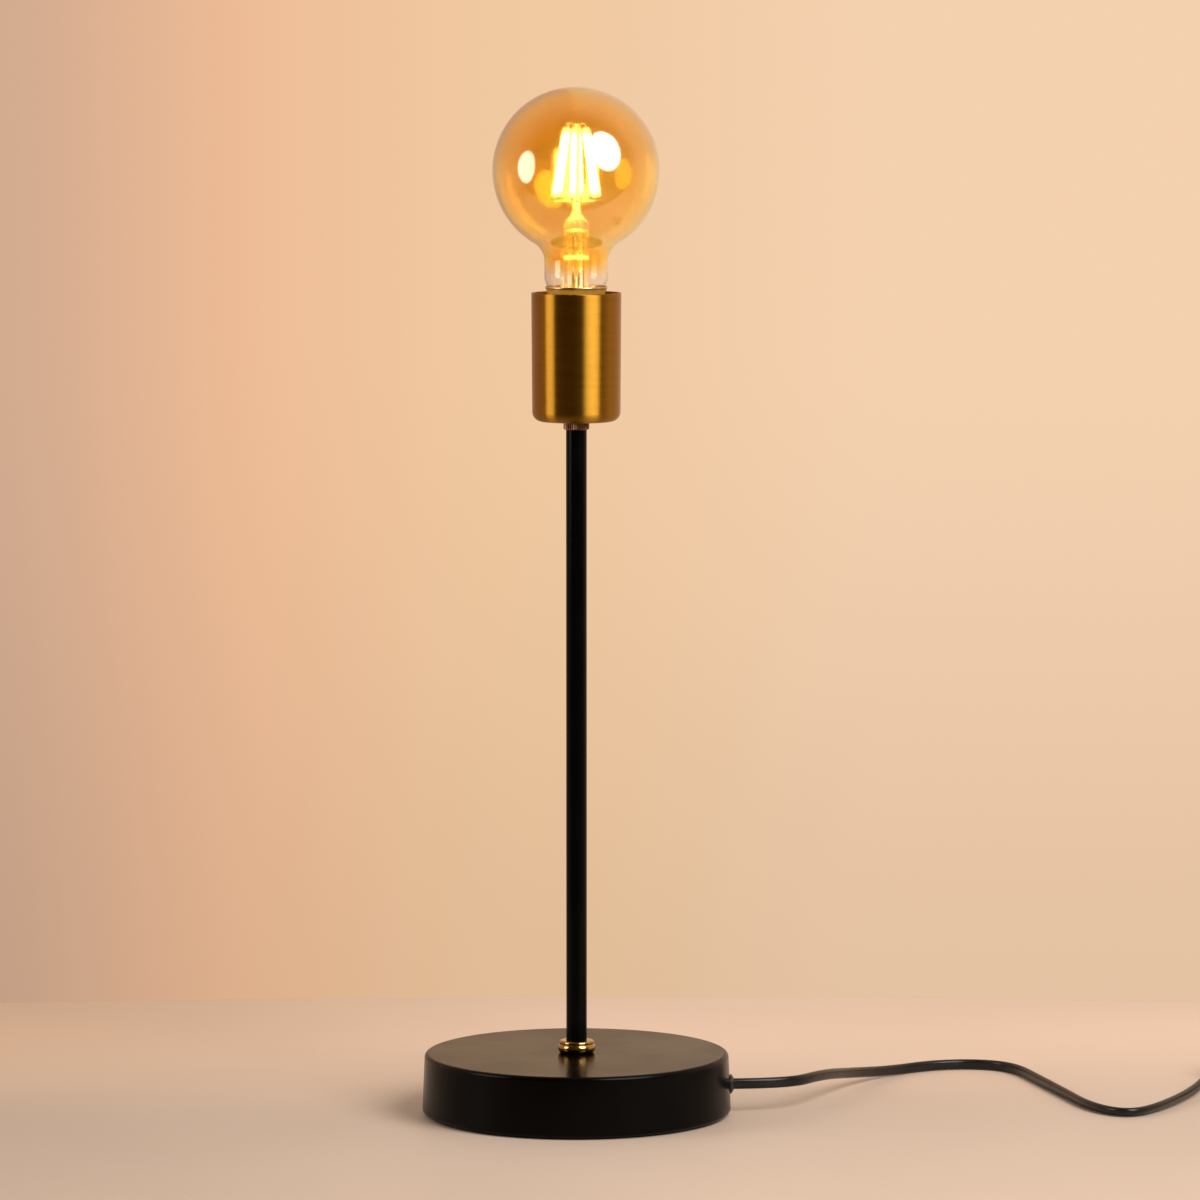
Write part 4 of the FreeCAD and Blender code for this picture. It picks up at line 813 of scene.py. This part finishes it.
glow = bpy.data.materials.new("filament_glow")
glow.use_nodes = True
set_sockets(shader_of(glow), {"Base Color": (0.9, 0.6, 0.15, 1.0), "Roughness": 0.6,
                              "Emission Strength": HOT_STRENGTH})
height = axes_of(glow)["Z"]
from_foot = map_value(glow, height, 0.0, 1.0, FOOT_LEVEL, FOOT_LEVEL + FOOT_FADE)
to_top = map_value(glow, height, 1.0, 0.0, TOP_LEVEL - TOP_FADE, TOP_LEVEL)
feed(glow, "Emission Color",
     mix_colours(glow, to_top, HOT_TIP, mix_colours(glow, from_foot, HOT_TIP, HOT)))
glow.cycles.emission_sampling = "NONE"


def strip_ends(index):
    """The foot and the top of one strip."""
    turn = math.radians(FILAMENT_TURN + 360 * index / FILAMENT_COUNT)
    out = Vector((math.cos(turn), math.sin(turn), 0.0))
    return (out * FOOT_CIRCLE + Vector((0, 0, FOOT_LEVEL)),
            out * TOP_CIRCLE + Vector((0, 0, TOP_LEVEL)))


def add_rod(bm, start, end, radius, rounding):
    """A rod between two points, with rounded ends."""
    along = end - start
    turn = along.to_track_quat("Z", "Y").to_matrix().to_4x4()
    made = bmesh.ops.create_cone(bm, cap_ends=True, segments=ROD_SEGMENTS, radius1=radius,
                                 radius2=radius, depth=along.length,
                                 matrix=Matrix.Translation((start + end) / 2) @ turn)
    rims = {e for v in made["verts"] for e in v.link_edges
            if any(len(f.verts) > 4 for f in e.link_faces)}
    bmesh.ops.bevel(bm, geom=list(rims), offset=rounding, segments=4, profile=0.5, affect="EDGES",
                    material=-1)


strips, clips = bmesh.new(), bmesh.new()
for index in range(FILAMENT_COUNT):
    foot, top = strip_ends(index)
    along = (top - foot).normalized()
    bare = along * CLIP_LENGTH * CLIP_SHOWN
    add_rod(strips, foot + bare, top - bare, STRIP_RADIUS, STRIP_ROUNDING)
    add_rod(clips, foot, foot + along * CLIP_LENGTH, CLIP_RADIUS, CLIP_ROUNDING)
    add_rod(clips, top - along * CLIP_LENGTH, top, CLIP_RADIUS, CLIP_ROUNDING)
filaments = new_piece(strips, "filament_strips", "bulb", glow, ["bulb_filaments"])
filaments.visible_diffuse = False
new_piece(clips, "filament_clips", "bulb", nickel_wire)
print(FILAMENT_COUNT, "strips of %.1f mm" % ((top - foot).length * 1000))

# %% [markdown]
# ## The glass mount
#
# Inside the neck a glass tube carries the filaments. It flares out where it is sealed to the
# neck, and its top is pinched flat round the wires and drawn out to a thin rod. An exhaust tube
# runs up its middle.

# %% Mount
TUBE_RADIUS = 6.0 * MM
TUBE_WALL = 1.0 * MM
ROD_RADIUS = 1.8 * MM
ROD_ROUNDING = 1.0 * MM
SHOULDER = 433.6 * MM
ROD_TOP = 479.25 * MM
EXHAUST_RADIUS, EXHAUST_BORE = 2.1 * MM, 1.4 * MM
EXHAUST_FOOT, EXHAUST_TOP = CAP_RIM - 4 * MM, SHOULDER - 4.6 * MM

bm = bmesh.new()
pen = bm.verts.new((0.0, 0.0, ROD_TOP))
pen = pen_line(bm, pen, ROD_RADIUS - ROD_ROUNDING, ROD_TOP)
pen = pen_arc(bm, pen, ROD_RADIUS - ROD_ROUNDING, ROD_TOP - ROD_ROUNDING, 90, 6)
for x, z in ((ROD_RADIUS, SHOULDER + 6 * MM), (ROD_RADIUS + 0.1 * MM, SHOULDER + 4.4 * MM),
             (2.5 * MM, SHOULDER + 2.6 * MM), (3.6 * MM, SHOULDER + 1.1 * MM),
             (5.0 * MM, SHOULDER - 0.3 * MM), (5.7 * MM, SHOULDER - 1.6 * MM),
             (TUBE_RADIUS, SHOULDER - 3.2 * MM), (TUBE_RADIUS, CAP_RIM + 1 * MM),
             (6.5 * MM, CAP_RIM - 2 * MM), (8.0 * MM, CAP_RIM - 4.6 * MM),
             (10.4 * MM, CAP_RIM - 7.4 * MM), (SEAT_RADIUS - 1.0 * MM, CAP_RIM - 10.6 * MM),
             (SEAT_RADIUS - 2.2 * MM, CAP_RIM - 10.6 * MM), (9.2 * MM, CAP_RIM - 7.8 * MM),
             (6.9 * MM, CAP_RIM - 5.0 * MM), (5.5 * MM, CAP_RIM - 2.2 * MM),
             (TUBE_RADIUS - TUBE_WALL, CAP_RIM + 1 * MM),
             (TUBE_RADIUS - TUBE_WALL, SHOULDER - 6 * MM), (4.2 * MM, SHOULDER - 5.0 * MM),
             (2.4 * MM, SHOULDER - 4.3 * MM), (0.0, SHOULDER - 4.1 * MM)):
    pen = pen_line(bm, pen, x, z)
lathe(bm, 96)
new_piece(bm, "glass_mount", "bulb", lit_glass, ["bulb_stem"])

bm = bmesh.new()
pen = bm.verts.new((EXHAUST_RADIUS, 0.0, EXHAUST_TOP))
for x, z in ((EXHAUST_RADIUS, EXHAUST_FOOT), (EXHAUST_BORE, EXHAUST_FOOT),
             (EXHAUST_BORE, EXHAUST_TOP), (EXHAUST_RADIUS, EXHAUST_TOP)):
    pen = pen_line(bm, pen, x, z)
lathe(bm, 48)
new_piece(bm, "exhaust_tube", "bulb", lit_glass)
print("mount stands up to z = %.4f" % ROD_TOP)

# %% [markdown]
# ## Finishes on the solids
#
# The rest of the lamp keeps its measured solids. Each one gets the finish of its own material.

# %% Finish every solid
finish_of = [
    (black_paint, ["base_cover", "stem_tube"]),
    (cast_iron, ["base_weight"]),
    (zinc_steel, ["base_plate", "base_screws", "foot_washer", "foot_nut", "cup_lock_nut",
                  "terminal_screws", "switch_screws"]),
    (foam_pad, ["base_pad"]),
    (polished_brass, ["foot_collar"]),
    (dark_bronze, ["ring_nut"]),
    (antique_brass, ["socket_cup"]),
    (contact_brass, ["terminals", "screw_shell", "centre_contact", "bulb_contact"]),
    (nickel_wire, ["bulb_supports", "bulb_leads"]),
    (plug_nickel, ["plug_pins"]),
    (black_moulding, ["holder_cap", "holder_skirt", "holder_insert"]),
    (black_fitting, ["gland_body", "gland_nut", "switch_bottom", "switch_top", "switch_rocker",
                     "plug_body"]),
    (black_insulator, ["bulb_insulator"]),
    (black_flex, ["inner_cord"]),
    (core_brown, ["inner_cores"]),
    (circuit_board, ["bulb_driver"]),
]
for finish, names in finish_of:
    for name in names:
        for slot in node[name].material_slots:
            slot.material = finish
print("finished", sum(len(names) for finish, names in finish_of), "solids")
